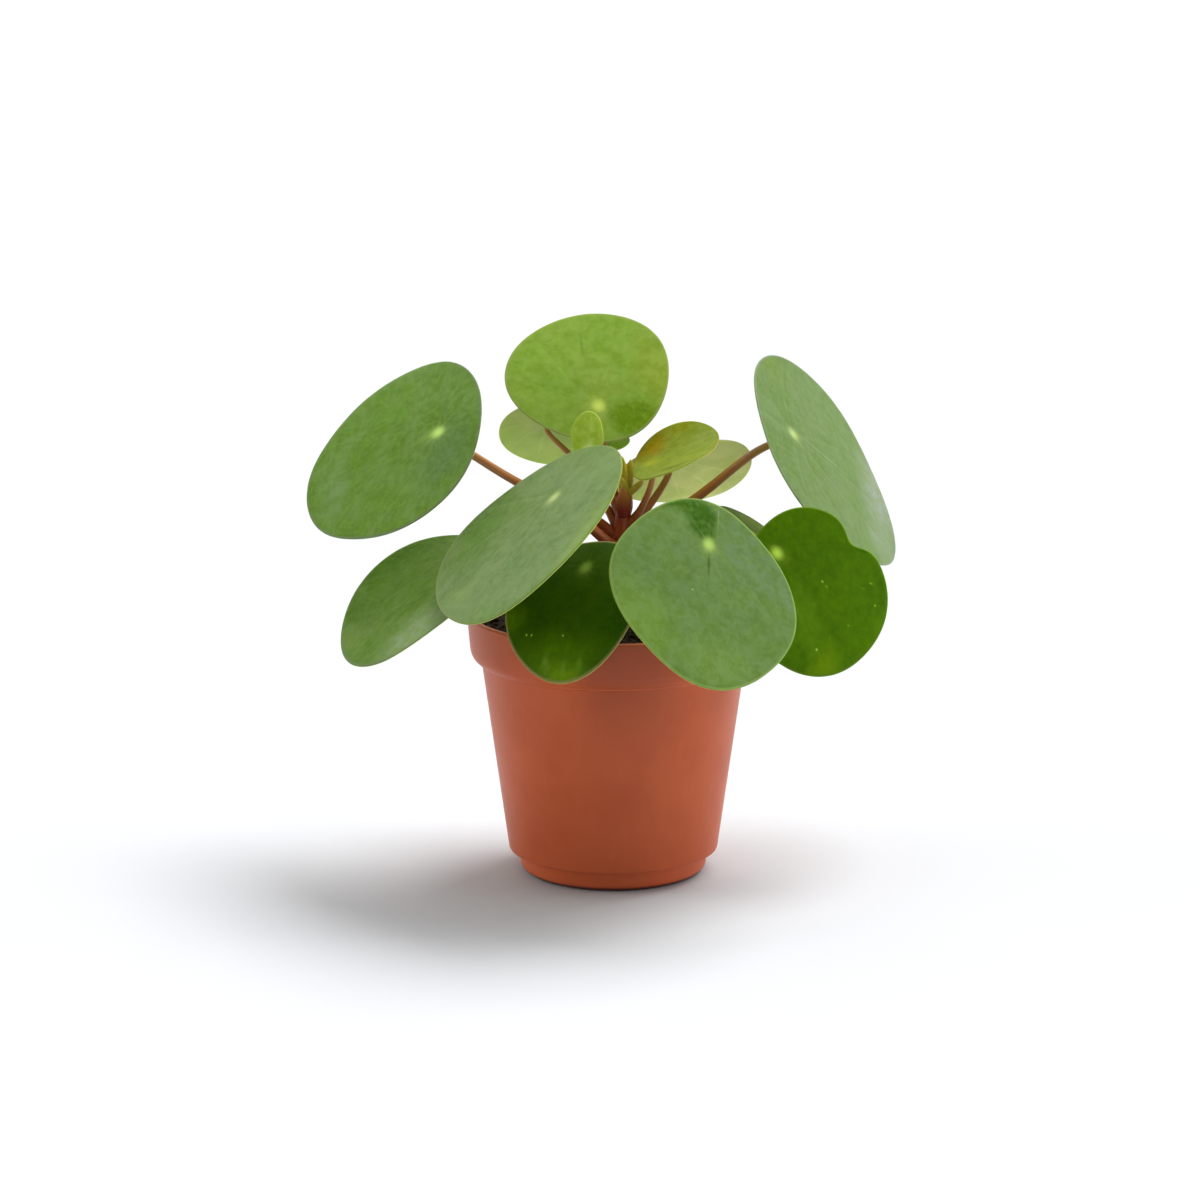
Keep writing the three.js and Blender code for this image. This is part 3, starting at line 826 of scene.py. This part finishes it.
def blade_upper_material(leaf, seed):
    look = LOOKS[leaf["name"]]
    main = look["main"]
    skin = BladeSkin("upper", leaf, look, seed)
    lit_colour, flat, level = skin.lit_colour, skin.flat, skin.level
    fine = skin.noise(flat, 0.42, 3, 0.6)
    broad = skin.noise(flat, 0.075, 3, 0.55, 0.6)
    colour = skin.tint(lit_colour(main), lit_colour(look["mottle"]), broad, 0.38, 0.66)
    # Big marks get a wandering edge
    shift = skin.vectors("SUBTRACT", skin.noise(flat, 0.11, output="Color"), (0.5, 0.5, 0.5))
    wavy = skin.vectors("ADD", level, skin.vectors("MULTIPLY", shift, MARK_WANDER))
    marks = MARKS.get(leaf["name"], [])
    for along, across, half_length, half_width, turn, seen, strength, *edge in marks:
        soft = edge[0] if edge else MARK_SOFTNESS
        place = wavy if half_width > 3 and soft >= 0.1 else level
        share = skin.ellipse(place, along, across, half_length, half_width, turn, soft)
        colour = skin.mix(skin.times(share, strength), colour, lit_colour(seen))
    # Painted sheen that comes and goes over the upper face
    sheen_drift = skin.tint(*SHEEN_DRIFT, skin.noise(flat, 0.2, 4, 0.62, 0.3), 0.36, 0.64)
    colour = skin.mix(1.0, colour, sheen_drift, "MULTIPLY")
    light = lit_colour([min(255, c * 1.1 + 5) for c in main])
    colour = skin.tint(colour, light, fine, 0.4, 0.75, 0.4)
    vein = skin.smooth(skin.gap, 0.7, 0.1)
    # Painted shade: the veins' valleys are a little darker
    colour = skin.mix(skin.times(vein, 0.1), colour, lit_colour([c * 0.86 for c in main]))
    near = skin.times(skin.smooth(skin.radius, 11.0, 2.0), 0.22 * look.get("rays", 1))
    pale = lit_colour([c + (s - c) * 0.5 for c, s in zip(main, SPOT_COLOUR)])
    colour = skin.mix(skin.times(vein, near), colour, pale)
    spot = lit_colour(look.get("spot", SPOT_COLOUR))
    halo = skin.times(skin.ellipse(level, 1, 0, 7, 5.5), look.get("halo", 0.4))
    colour = skin.mix(halo, colour, spot)
    colour = skin.mix(skin.ellipse(level, 0.2, 0, 4.4, 3.7), colour, spot)
    colour = skin.tint(colour, lit_colour(look["rim"]), skin.margin, 0.9, 0.15, 0.7)
    grain = skin.times(skin.noise(flat, 2.2), 0.06)
    height = skin.line(skin.noise(flat, 0.22), 0.5, grain)
    height = skin.minus(height, skin.times(vein, 0.05))
    return skin.finished(colour, skin.line(fine, 0.16, 0.36), height, 0.6)


def blade_under_material(leaf, seed):
    look = UNDERSIDES.get(leaf["name"], UNDERSIDES["others"])
    main = look["main"]
    skin = BladeSkin("under", leaf, look, seed)
    lit_colour, flat = skin.lit_colour, skin.flat
    broad = skin.noise(flat, 0.06, 3, 0.55, 0.4)
    colour = skin.tint(lit_colour(main), lit_colour(look["mottle"]), broad, 0.35, 0.7)
    vein = skin.smooth(skin.gap, 0.95, 0.15)
    share = skin.times(vein, skin.times(skin.smooth(skin.margin, 1.0, 14.0), 0.16))
    colour = skin.mix(share, colour, lit_colour([c * 1.1 + 10 for c in main]))
    inputs = {"Vector": flat, "Scale": 0.32, "Randomness": 1.0}
    cells = skin.node("TexVoronoi", inputs, feature="DISTANCE_TO_EDGE").outputs["Distance"]
    net = skin.smooth(cells, 0.07, 0.0)
    colour = skin.mix(skin.times(net, 0.14), colour, lit_colour([c * 0.86 for c in main]))
    grain = skin.noise(flat, 1.6)
    height = skin.line(vein, 0.35, skin.line(net, 0.1, skin.times(grain, 0.08)))
    return skin.finished(colour, skin.line(grain, 0.15, 0.5), height, 0.8)


# Stem, stalks and shoot tip

def stem_at(height):
    x, y, z = np.array(STEM_LINE, float).T
    return np.array([np.interp(height, z, x), np.interp(height, z, y), height])


def stalk_material():
    skin = Shader("stalk_skin")
    length, turn, share = skin.split(skin.attribute("mark"))
    cosine = skin.times(skin.math("COSINE", turn), 2.2)
    sine = skin.times(skin.math("SINE", turn), 2.2)
    around = skin.vector(cosine, sine, skin.times(length, 0.06))
    streak = skin.noise(around, 1.6, 4, 0.6)
    ramp = skin.node("ValToRGB", {"Fac": share})
    stops = ramp.color_ramp.elements
    for stop, colour in zip(stops, STALK_END_COLOURS):
        stop.color = linear(colour)
    for position, colour in STALK_MIDDLE_COLOURS:
        stops.new(position).color = linear(colour)
    colour = skin.tint(ramp.outputs[0], STALK_STREAK, streak, 0.45, 0.75, 0.5)
    colour = skin.tint(colour, STALK_PATCH, skin.noise(around, 0.5), 0.5, 0.8, 0.5)
    green = skin.times(skin.attribute("tone", "Fac"), 0.55)
    colour = skin.mix(green, colour, STALK_GREEN)
    height = skin.plus(streak, skin.times(skin.noise(around, 5.0), 0.3))
    rough = skin.line(streak, 0.2, 0.32)
    return skin.surface(skin.bumped(colour, rough, height, 0.15, 0.6, **COAT))


def stem_radius(u, turn):
    """The stem's radius: it tapers to a dome, with a low swelling where each stalk leaves it."""
    low, high = STEM_LINE[0][2], STEM_LINE[-1][2]
    scars = [(leaf["root"] - low) / (high - low) for leaf in LEAVES]
    radius = STEM_BASE_RADIUS + (STEM_TOP_RADIUS - STEM_BASE_RADIUS) * u
    radius *= 1 - 0.55 * max(0, (u - DOME_START) / (1 - DOME_START)) ** 2
    swell = sum(math.exp(-(((u - at) / SCAR_WIDTH) ** 2)) for at in scars)
    lump = noise.noise(Vector((math.cos(turn) * 2, math.sin(turn) * 2, u * 40)))
    return radius * (1 + 0.07 * min(swell, 1.5) + 0.07 * lump)


def make_stalks(material):
    heap = Heap()
    up = np.array([0.0, 0, 1])
    points, faces, marks = tube(Path(STEM_LINE), STEM_STEPS, STEM_SIDES, stem_radius, up)
    heap.add(points, faces, [(m[0], m[1], 0.0) for m in marks])
    draw = random.Random(11)
    for leaf in LEAVES:
        base, tip, straight = leaf["stalk"]
        normal = blade_axes(leaf)[0]
        hub = np.array(leaf["hub"], float)
        bends = [stem_at(leaf["root"]), *leaf["bends"], hub - straight * normal]
        path = Path([*bends, hub - STALK_SEAT * normal])

        def radius_at(u, turn, base=base, tip=tip, path=path):
            foot = 0.22 * math.exp(-u * path.length / STALK_FOOT)
            head = 0.35 * math.exp(-(1 - u) * path.length / STALK_HEAD)
            ridge = 0.03 * math.cos(3 * turn + 4 * u) + 0.02 * math.cos(5 * turn)
            return (base + (tip - base) * u) * (1 + foot + head + ridge)

        heap.add(*tube(path, STALK_STEPS, STALK_SIDES, radius_at, normal), draw.uniform(0, 0.35))
    piece = heap.piece("stem_and_stalks_fine", material)
    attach(piece, "root")
    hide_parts("stem_and_stalks")


def scale_leaf(foot, lean, length, radius, cup, turn, steps=18, sides=14):
    """A pointed scale that hugs the shoot: a thin cupped blade, closed all round."""
    points, marks = [], []
    outward = np.array([math.cos(turn), math.sin(turn), 0])
    sideways = np.array([-math.sin(turn), math.cos(turn), 0])
    for i in range(steps + 1):
        u = i / steps
        width = radius * (math.sin(math.pi * min(1, 0.22 + 0.78 * u) ** 1.15)) ** 0.7
        centre = np.array(foot) + np.array([*lean, length]) * u
        for face in (1, -1):
            for j in range(sides + 1):
                v = face * (2 * j / sides - 1)
                bow = cup * (1 - v * v) + face * SCALE_HALF * (1 - u * 0.6)
                points.append(centre + outward * bow + sideways * width * v)
                marks.append((u * length, v, u))
    row = 2 * (sides + 1)
    # Past the upper face each quad starts one corner on, so both faces split along the same diagonal
    faces = [q if q[0] % row < sides else q[1:] + q[:1] for q in ring_faces(steps + 1, row)]
    for j in range(sides):
        end = (j, j + 1, row - 2 - j, row - 1 - j)
        faces += [tuple(reversed(end)), tuple(steps * row + k for k in end)]
    return points, faces, marks


def bud(foot, lean_x, lean_y, length, radius, sides=20, steps=26):
    """An unopened leaf: a rolled spindle with a seam along it."""
    points, marks = [], []
    for i in range(steps + 1):
        u = i / steps
        body = radius * (0.8 + 1.1 * u - 0.9 * u * u) * (1 - u**3.2) ** 0.6 + 0.03
        sway = 0.1 * lean_x * math.sin(math.pi * u)
        centre = np.array(foot) + np.array([lean_x * u + sway, lean_y * u, length * u])
        for j in range(sides):
            turn = 2 * math.pi * j / sides
            seam = 1 - 0.22 * math.exp(-(((turn - 3.6 - 1.2 * u) / 0.35) ** 2))
            points.append(centre + body * seam * np.array([math.cos(turn), math.sin(turn), 0]))
            marks.append((u * length, turn, u))
    faces = ring_faces(steps + 1, sides)
    for end, ring in ((0, 0), (1, steps * sides)):
        faces += fan(len(points), ring, sides, end == 0)
        points.append(np.mean(points[ring : ring + sides], axis=0))
        marks.append((0, 0, end))
    return points, faces, marks


def tip_material():
    skin = Shader("shoot_tip_skin")
    length, turn, share = skin.split(skin.attribute("mark"))
    streak = skin.noise(skin.vector(length, turn), 1.2, 3)
    colour = skin.mix(share, *TIP_COLOURS)
    colour = skin.tint(colour, TIP_STREAK, streak, 0.4, 0.7, 0.5)
    rough = skin.line(streak, 0.2, 0.3)
    return skin.translucent(skin.bumped(colour, rough, streak, 0.12, 0.6, **COAT), colour, 0.2)


def stipule_material():
    skin = Shader("stipule_skin")
    length, turn, share = skin.split(skin.attribute("mark"))
    streak = skin.noise(skin.vector(length, skin.times(turn, 6.0)), 1.4, 3)
    colour = skin.tint(*STIPULE_COLOURS, share, 0.15, 0.95)
    colour = skin.tint(colour, STIPULE_STREAK, streak, 0.4, 0.7, 0.5)
    rough = skin.line(streak, 0.25, 0.4)
    return skin.translucent(skin.bumped(colour, rough, streak, 0.1, 0.6), colour, 0.35)


def make_shoot():
    heap = Heap()
    foot = (*STEM_LINE[-1][:2], TIP_BASE - TIP_SINK)
    for lean_x, lean_y, length, radius in TIP_BUDS:
        heap.add(*bud(foot, lean_x, lean_y, length + TIP_SINK, radius))
    for away, lean, length, radius, turn in SHEATHS:
        start = np.array(foot) + np.array(away)
        heap.add(*scale_leaf(start, lean, length, radius, 1.0, math.radians(turn)))
    tip = heap.piece("shoot_tip_fine", tip_material())
    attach(tip, "root")
    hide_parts("shoot_tip")
    heap = Heap()
    base = stem_at(STIPULE_BASE)
    for lean_x, lean_y, length, radius in STIPULES:
        turn = math.atan2(lean_y, lean_x)
        start = base + STIPULE_SEAT * np.array([math.cos(turn), math.sin(turn), 0])
        lean = (lean_x * 0.55, lean_y * 0.55)
        heap.add(*scale_leaf(start, lean, length, radius * 1.25, 1.2, turn))
    stipules = heap.piece("stipules", stipule_material())
    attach(stipules, "root")
    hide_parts("stem_and_stalks")


# Soil

def soil_height(x, y):
    """Height of the soil's surface: the solids' broad relief with peat lumps on it."""
    broad = math.sin(0.21 * x + 1.3) * math.cos(0.17 * y - 0.6)
    fine = math.sin(0.47 * x - 0.38 * y) * math.cos(0.41 * x + 0.52 * y + 2)
    lumps = noise.fractal(Vector((x * 0.28, y * 0.28, 3.1)), 0.9, 2.1, 5)
    small = noise.noise(Vector((x * 1.3, y * 1.3, 8.7)))
    return SOIL_TOP + 0.9 * (broad + 0.7 * fine) + 0.9 * lumps + 0.35 * small


def soil_material():
    skin = Shader("peat")
    grain = skin.noise(skin.place(), 900, 5, 0.65)
    colour = skin.tint(*PEAT_COLOURS, grain, 0.35, 0.7)
    patch = skin.noise(skin.place(), 130, 3)
    colour = skin.tint(colour, PEAT_PATCH, patch, 0.45, 0.7, 0.5)
    return skin.surface(skin.bumped(colour, skin.line(grain, 0.15, 0.8), grain, 0.6, 1.0))


def fibre_material():
    skin = Shader("peat_fibre")
    grain = skin.noise(skin.place(), 500, 3)
    colour = skin.mix(grain, *FIBRE_COLOURS)
    return skin.surface(skin.bumped(colour, skin.line(grain, 0.2, 0.65), grain, 0.2, 0.8))


def make_soil():
    away = WALL + SOIL_GAP
    outer = BAND_BOTTOM_RADIUS - away
    profile = [
        (0, FLOOR_TOP + SOIL_GAP),
        (FOOT_RADIUS - 3, FLOOR_TOP + SOIL_GAP),
        (FOOT_RADIUS - 2.4, FLOOR_TOP + 1),
        (FOOT_RADIUS - away, LEDGE_BOTTOM + away),
        (LEDGE_TOP_RADIUS - away, LEDGE_TOP + away),
        (BODY_TOP_RADIUS - away, BODY_TOP + 1.5),
        (outer, BAND_BOTTOM + 1.2),
    ]
    for i in range(SOIL_RINGS + 1):
        profile.append((outer + (STEM_HOLE_RADIUS - outer) * i / SOIL_RINGS, SOIL_TOP))
    profile += [(STEM_HOLE_RADIUS, STEM_HOLE_BOTTOM), (0, STEM_HOLE_BOTTOM)]
    points, faces = lathe(profile, SOIL_SIDES)
    points = [(x, y, soil_height(x, y) if z == SOIL_TOP else z) for x, y, z in points]
    peat = soil_material()
    soil = new_piece("soil_fine", points, faces, [peat])
    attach(soil, "root")
    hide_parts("soil")
    make_crumbs(peat)
    make_fibres()


def ball_mesh():
    """Points and faces of a ball of 42 points."""
    ball = bmesh.new()
    bmesh.ops.create_icosphere(ball, subdivisions=2, radius=1)
    ball.verts.index_update()
    points = np.array([vertex.co for vertex in ball.verts])
    faces = [tuple(vertex.index for vertex in face.verts) for face in ball.faces]
    ball.free()
    return points, faces


def scatter(draw, margin):
    """A place on the soil that misses the stem and the pot."""
    while True:
        radius = math.sqrt(draw.uniform(0, 1)) * (BAND_BOTTOM_RADIUS - WALL - margin)
        if radius > STEM_HOLE_RADIUS + 0.6:
            turn = draw.uniform(0, 2 * math.pi)
            return radius * math.cos(turn), radius * math.sin(turn)


def make_crumbs(material):
    draw = random.Random(5)
    ball, ball_faces = ball_mesh()
    heap = Heap()
    for _ in range(CRUMBS):
        sizes = SMALL_CRUMBS if draw.random() < SMALL_SHARE else LARGE_CRUMBS
        size = draw.uniform(*sizes)
        x, y = scatter(draw, 1 + size)
        stretch = [draw.uniform(0.7, 1.3), draw.uniform(0.7, 1.3), draw.uniform(0.5, 0.9)]
        seed = draw.uniform(0, 50)
        turn = draw.uniform(0, 6.3)
        dents = np.array([[noise.noise(Vector(tuple(p * 1.4 + seed)))] for p in ball])
        shape = ball * (1 + 0.5 * dents) * stretch * size
        cosine, sine = math.cos(turn), math.sin(turn)
        shape = shape @ np.array([(cosine, sine, 0), (-sine, cosine, 0), (0, 0, 1)])
        heap.add(shape + (x, y, soil_height(x, y) + size * 0.15), ball_faces)
    crumbs = new_piece("soil_crumbs", heap.points, heap.faces, [material])
    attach(crumbs, "root")
    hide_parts("soil")


def make_fibres():
    draw = random.Random(8)
    heap = Heap()
    for _ in range(FIBRES):
        x, y = scatter(draw, 5)
        turn = draw.uniform(0, 6.3)
        length = draw.uniform(2.5, 8)
        bend = draw.uniform(-0.5, 0.5)
        line = []
        for k in range(4):
            reach = length * (k / 3 - 0.5)
            px = x + reach * math.cos(turn + bend * k / 3)
            py = y + reach * math.sin(turn + bend * k / 3)
            limit = min(1, (BAND_BOTTOM_RADIUS - WALL - 1.5) / max(math.hypot(px, py), 1))
            px, py = px * limit, py * limit
            line.append((px, py, soil_height(px, py) + draw.uniform(0.1, 0.9)))
        thick = draw.uniform(0.1, 0.28)
        heap.add(*tube(Path(line, 6), 8, 5, lambda u, turn, r=thick: r * (1 - 0.5 * u)))
    fibres = heap.piece("soil_fibres", fibre_material())
    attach(fibres, "root")
    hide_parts("soil")


# Pot

def pot_material():
    skin = Shader("pot_plastic_skin")
    place = skin.place()
    x, y, z = skin.split(place)
    turn = skin.math("ARCTAN2", y, x)
    upright = skin.vector(skin.math("COSINE", turn), skin.math("SINE", turn), skin.times(z, 6.0))
    flow = skin.noise(upright, 14, 3)
    cloud = skin.noise(place, 38, 3)
    colour = skin.tint(*POT_COLOURS, cloud, 0.35, 0.7)
    colour = skin.tint(colour, POT_STREAK, flow, 0.5, 0.8, 0.25)
    scuff = skin.noise(place, 420, 4, 0.7, 1.0)
    wear = skin.times(skin.smooth(scuff, 0.66, 0.8), 0.12)
    colour = skin.mix(wear, colour, POT_SCUFF)
    above = skin.math("DIVIDE", z, MM)
    # Painted light: the foot below the ledge is lighter, where the white floor's bounce falls on it
    colour = skin.tint(colour, FOOT_PAINTED_LIGHT, above, LEDGE_TOP + 1, LEDGE_BOTTOM - 1, 0.35)
    # Painted shade: the undercut at the bottom edge is dark, as in a contact shadow
    colour = skin.tint(colour, UNDERCUT_PAINTED_SHADE, above, 2.3, 1.3, 0.8)
    # Painted shade of the leaves above, on the front of the wall
    beside = skin.math("ABSOLUTE", skin.minus(turn, math.radians(BAND_SHADE_TURN)))
    shade = skin.times(skin.smooth(beside, *BAND_SHADE_WIDTH), BAND_SHADE)
    colour = skin.tint(colour, SHADE_COLOUR, above, BAND_SHADE_BOTTOM, POT_HEIGHT, shade)
    # Painted highlight: thin lighter lines on the band's lower corner and on the rim's top edge
    for line in (BODY_TOP + 0.6, POT_HEIGHT - 0.2):
        off = skin.math("ABSOLUTE", skin.minus(above, line))
        colour = skin.tint(colour, EDGE_HIGHLIGHT_COLOUR, off, 0.55, 0.15, EDGE_HIGHLIGHT)
    height = skin.line(skin.noise(place, 1500), 0.25, skin.times(flow, 0.6))
    rough = skin.plus(skin.line(cloud, 0.12, 0.36), skin.times(wear, 1.2))
    gloss = dict(IOR=REFRACTION, Specular_IOR_Level=0.3)
    return skin.surface(skin.bumped(colour, rough, height, 0.08, 0.5, **gloss))


def make_pot():
    foot, ledge = FOOT_RADIUS, LEDGE_TOP_RADIUS
    body, band = BODY_TOP_RADIUS, BAND_BOTTOM_RADIUS
    ring = FOOT_RING_RADIUS - FOOT_RING_WIDTH
    outside = [
        (0, 0), (CENTRE_PAD_RADIUS, 0), (CENTRE_PAD_RADIUS + 1, FLOOR_UNDERSIDE),
        (ring - 1, FLOOR_UNDERSIDE), (ring, 0), (FOOT_RING_RADIUS, 0),
        (foot - 0.9, 1.7), (foot - 0.4, 3), (foot, LEDGE_BOTTOM), (ledge, LEDGE_TOP),
        (body, BODY_TOP), (body + 1.4, BODY_TOP + 0.5),
        (band - 1, BAND_BOTTOM - 1.7), (band, BAND_BOTTOM), (band + 0.5, BAND_BOTTOM + 2.4),
    ]
    rim = [
        (RIM_RADIUS, POT_HEIGHT - LIP), (RIM_RADIUS - 0.3, POT_HEIGHT - 0.25),
        (RIM_RADIUS - LIP, POT_HEIGHT), (RIM_RADIUS - WALL - 0.3, POT_HEIGHT),
        (RIM_RADIUS - WALL - 0.6, POT_HEIGHT - 0.5),
    ]
    inside = [
        (band - WALL, BAND_BOTTOM + 0.9), (body - WALL, BODY_TOP + 1.2),
        (ledge - WALL, LEDGE_TOP + WALL), (foot - WALL, LEDGE_BOTTOM + WALL),
        (foot - 2, FLOOR_TOP + 0.6), (foot - 2.8, FLOOR_TOP), (0, FLOOR_TOP),
    ]
    points, faces = lathe(rounded(outside + rim + inside, POT_EDGE), POT_SIDES)
    pot = new_piece("pot_fine", points, faces, [pot_material()])
    low, high = DRILL_ENDS
    outline = [(0, low), (DRAIN_HOLE_RADIUS, low), (DRAIN_HOLE_RADIUS, high), (0, high)]
    drill, drill_faces = lathe(outline, DRAIN_HOLE_SIDES)
    heap = Heap()
    for i in range(DRAIN_HOLES):
        turn = 2 * math.pi * (i + 0.5) / DRAIN_HOLES
        centre = np.array([math.cos(turn), math.sin(turn), 0]) * DRAIN_CIRCLE_RADIUS
        heap.add(np.array(drill) + centre, drill_faces)
    cutter = new_piece("cutter", heap.points, heap.faces, [])
    cut = pot.modifiers.new("holes", "BOOLEAN")
    cut.operation, cut.object, cut.solver = "DIFFERENCE", cutter, "EXACT"
    graph = bpy.context.evaluated_depsgraph_get()
    drilled = bpy.data.meshes.new_from_object(pot.evaluated_get(graph))
    pot.modifiers.clear()
    pot.data = drilled
    bpy.data.objects.remove(cutter)
    pot.data.set_sharp_from_angle(angle=math.radians(SHARP_ANGLE))
    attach(pot, "root")
    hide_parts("pot")


# Studio

def make_floor():
    skin = Shader("floor_paint")
    grain = skin.noise(skin.place(), 30)
    colour = skin.mix(grain, FLOOR_COLOUR, tuple(c - 1 for c in FLOOR_COLOUR))
    inputs = {"Base Color": colour, "Roughness": 1.0, "Specular IOR Level": 0.0}
    paint = skin.surface(skin.node("BsdfPrincipled", inputs).outputs[0])
    r = FLOOR_REACH
    corners = [(-r, -r, 0), (r, -r, 0), (r, r, 0), (-r, r, 0)]
    floor = new_piece("floor", corners, [(0, 1, 2, 3)], [paint])


def make_lamp(name, compass, height, width, strength):
    lamp = bpy.data.lights.new(name, "SUN")
    lamp.energy = strength
    lamp.angle = math.radians(width)
    holder = bpy.data.objects.new(name, lamp)
    a, e = math.radians(compass), math.radians(height)
    source = Vector((math.cos(a) * math.cos(e), math.sin(a) * math.cos(e), math.sin(e)))
    holder.rotation_mode = "QUATERNION"
    holder.rotation_quaternion = source.to_track_quat("Z", "Y")
    holder.visible_glossy = False
    bpy.context.scene.collection.objects.link(holder)


def make_lights():
    """The lamps only light matt surfaces; reflections show the pale room alone."""
    world = bpy.data.worlds.new("studio")
    sky = Shader("studio", world)
    ahead = sky.split(sky.place("Generated"))[1]
    room = sky.smooth(ahead, *ROOM_FADE)
    strength = sky.line(room, ROOM_LIGHT - CAMERA_SIDE_LIGHT, CAMERA_SIDE_LIGHT)
    background = sky.node("Background", {"Color": (1, 1, 1, 1), "Strength": strength})
    sky.surface(background.outputs[0], "OutputWorld")
    bpy.context.scene.world = world
    for name, setting in LAMPS.items():
        make_lamp(name, *setting)


def make_camera():
    data = bpy.data.cameras.new("camera")
    data.lens = CAMERA_LENS
    data.clip_end = 100
    camera = bpy.data.objects.new("camera", data)
    tilt = math.radians(CAMERA_ELEVATION)
    back = Vector((0, -math.cos(tilt), math.sin(tilt)))
    camera.location = (Vector(CAMERA_AIM) + back * CAMERA_DISTANCE) * MM
    camera.rotation_euler = (math.pi / 2 - tilt, 0, 0)
    bpy.context.scene.collection.objects.link(camera)
    bpy.context.scene.camera = camera
    bpy.context.scene.view_settings.view_transform = "Standard"


make_camera()
make_lights()
make_floor()
make_pot()
make_soil()
make_stalks(stalk_material())
make_shoot()
for index, leaf in enumerate(LEAVES):
    make_blade(leaf, [blade_upper_material(leaf, index), blade_under_material(leaf, index)], index)
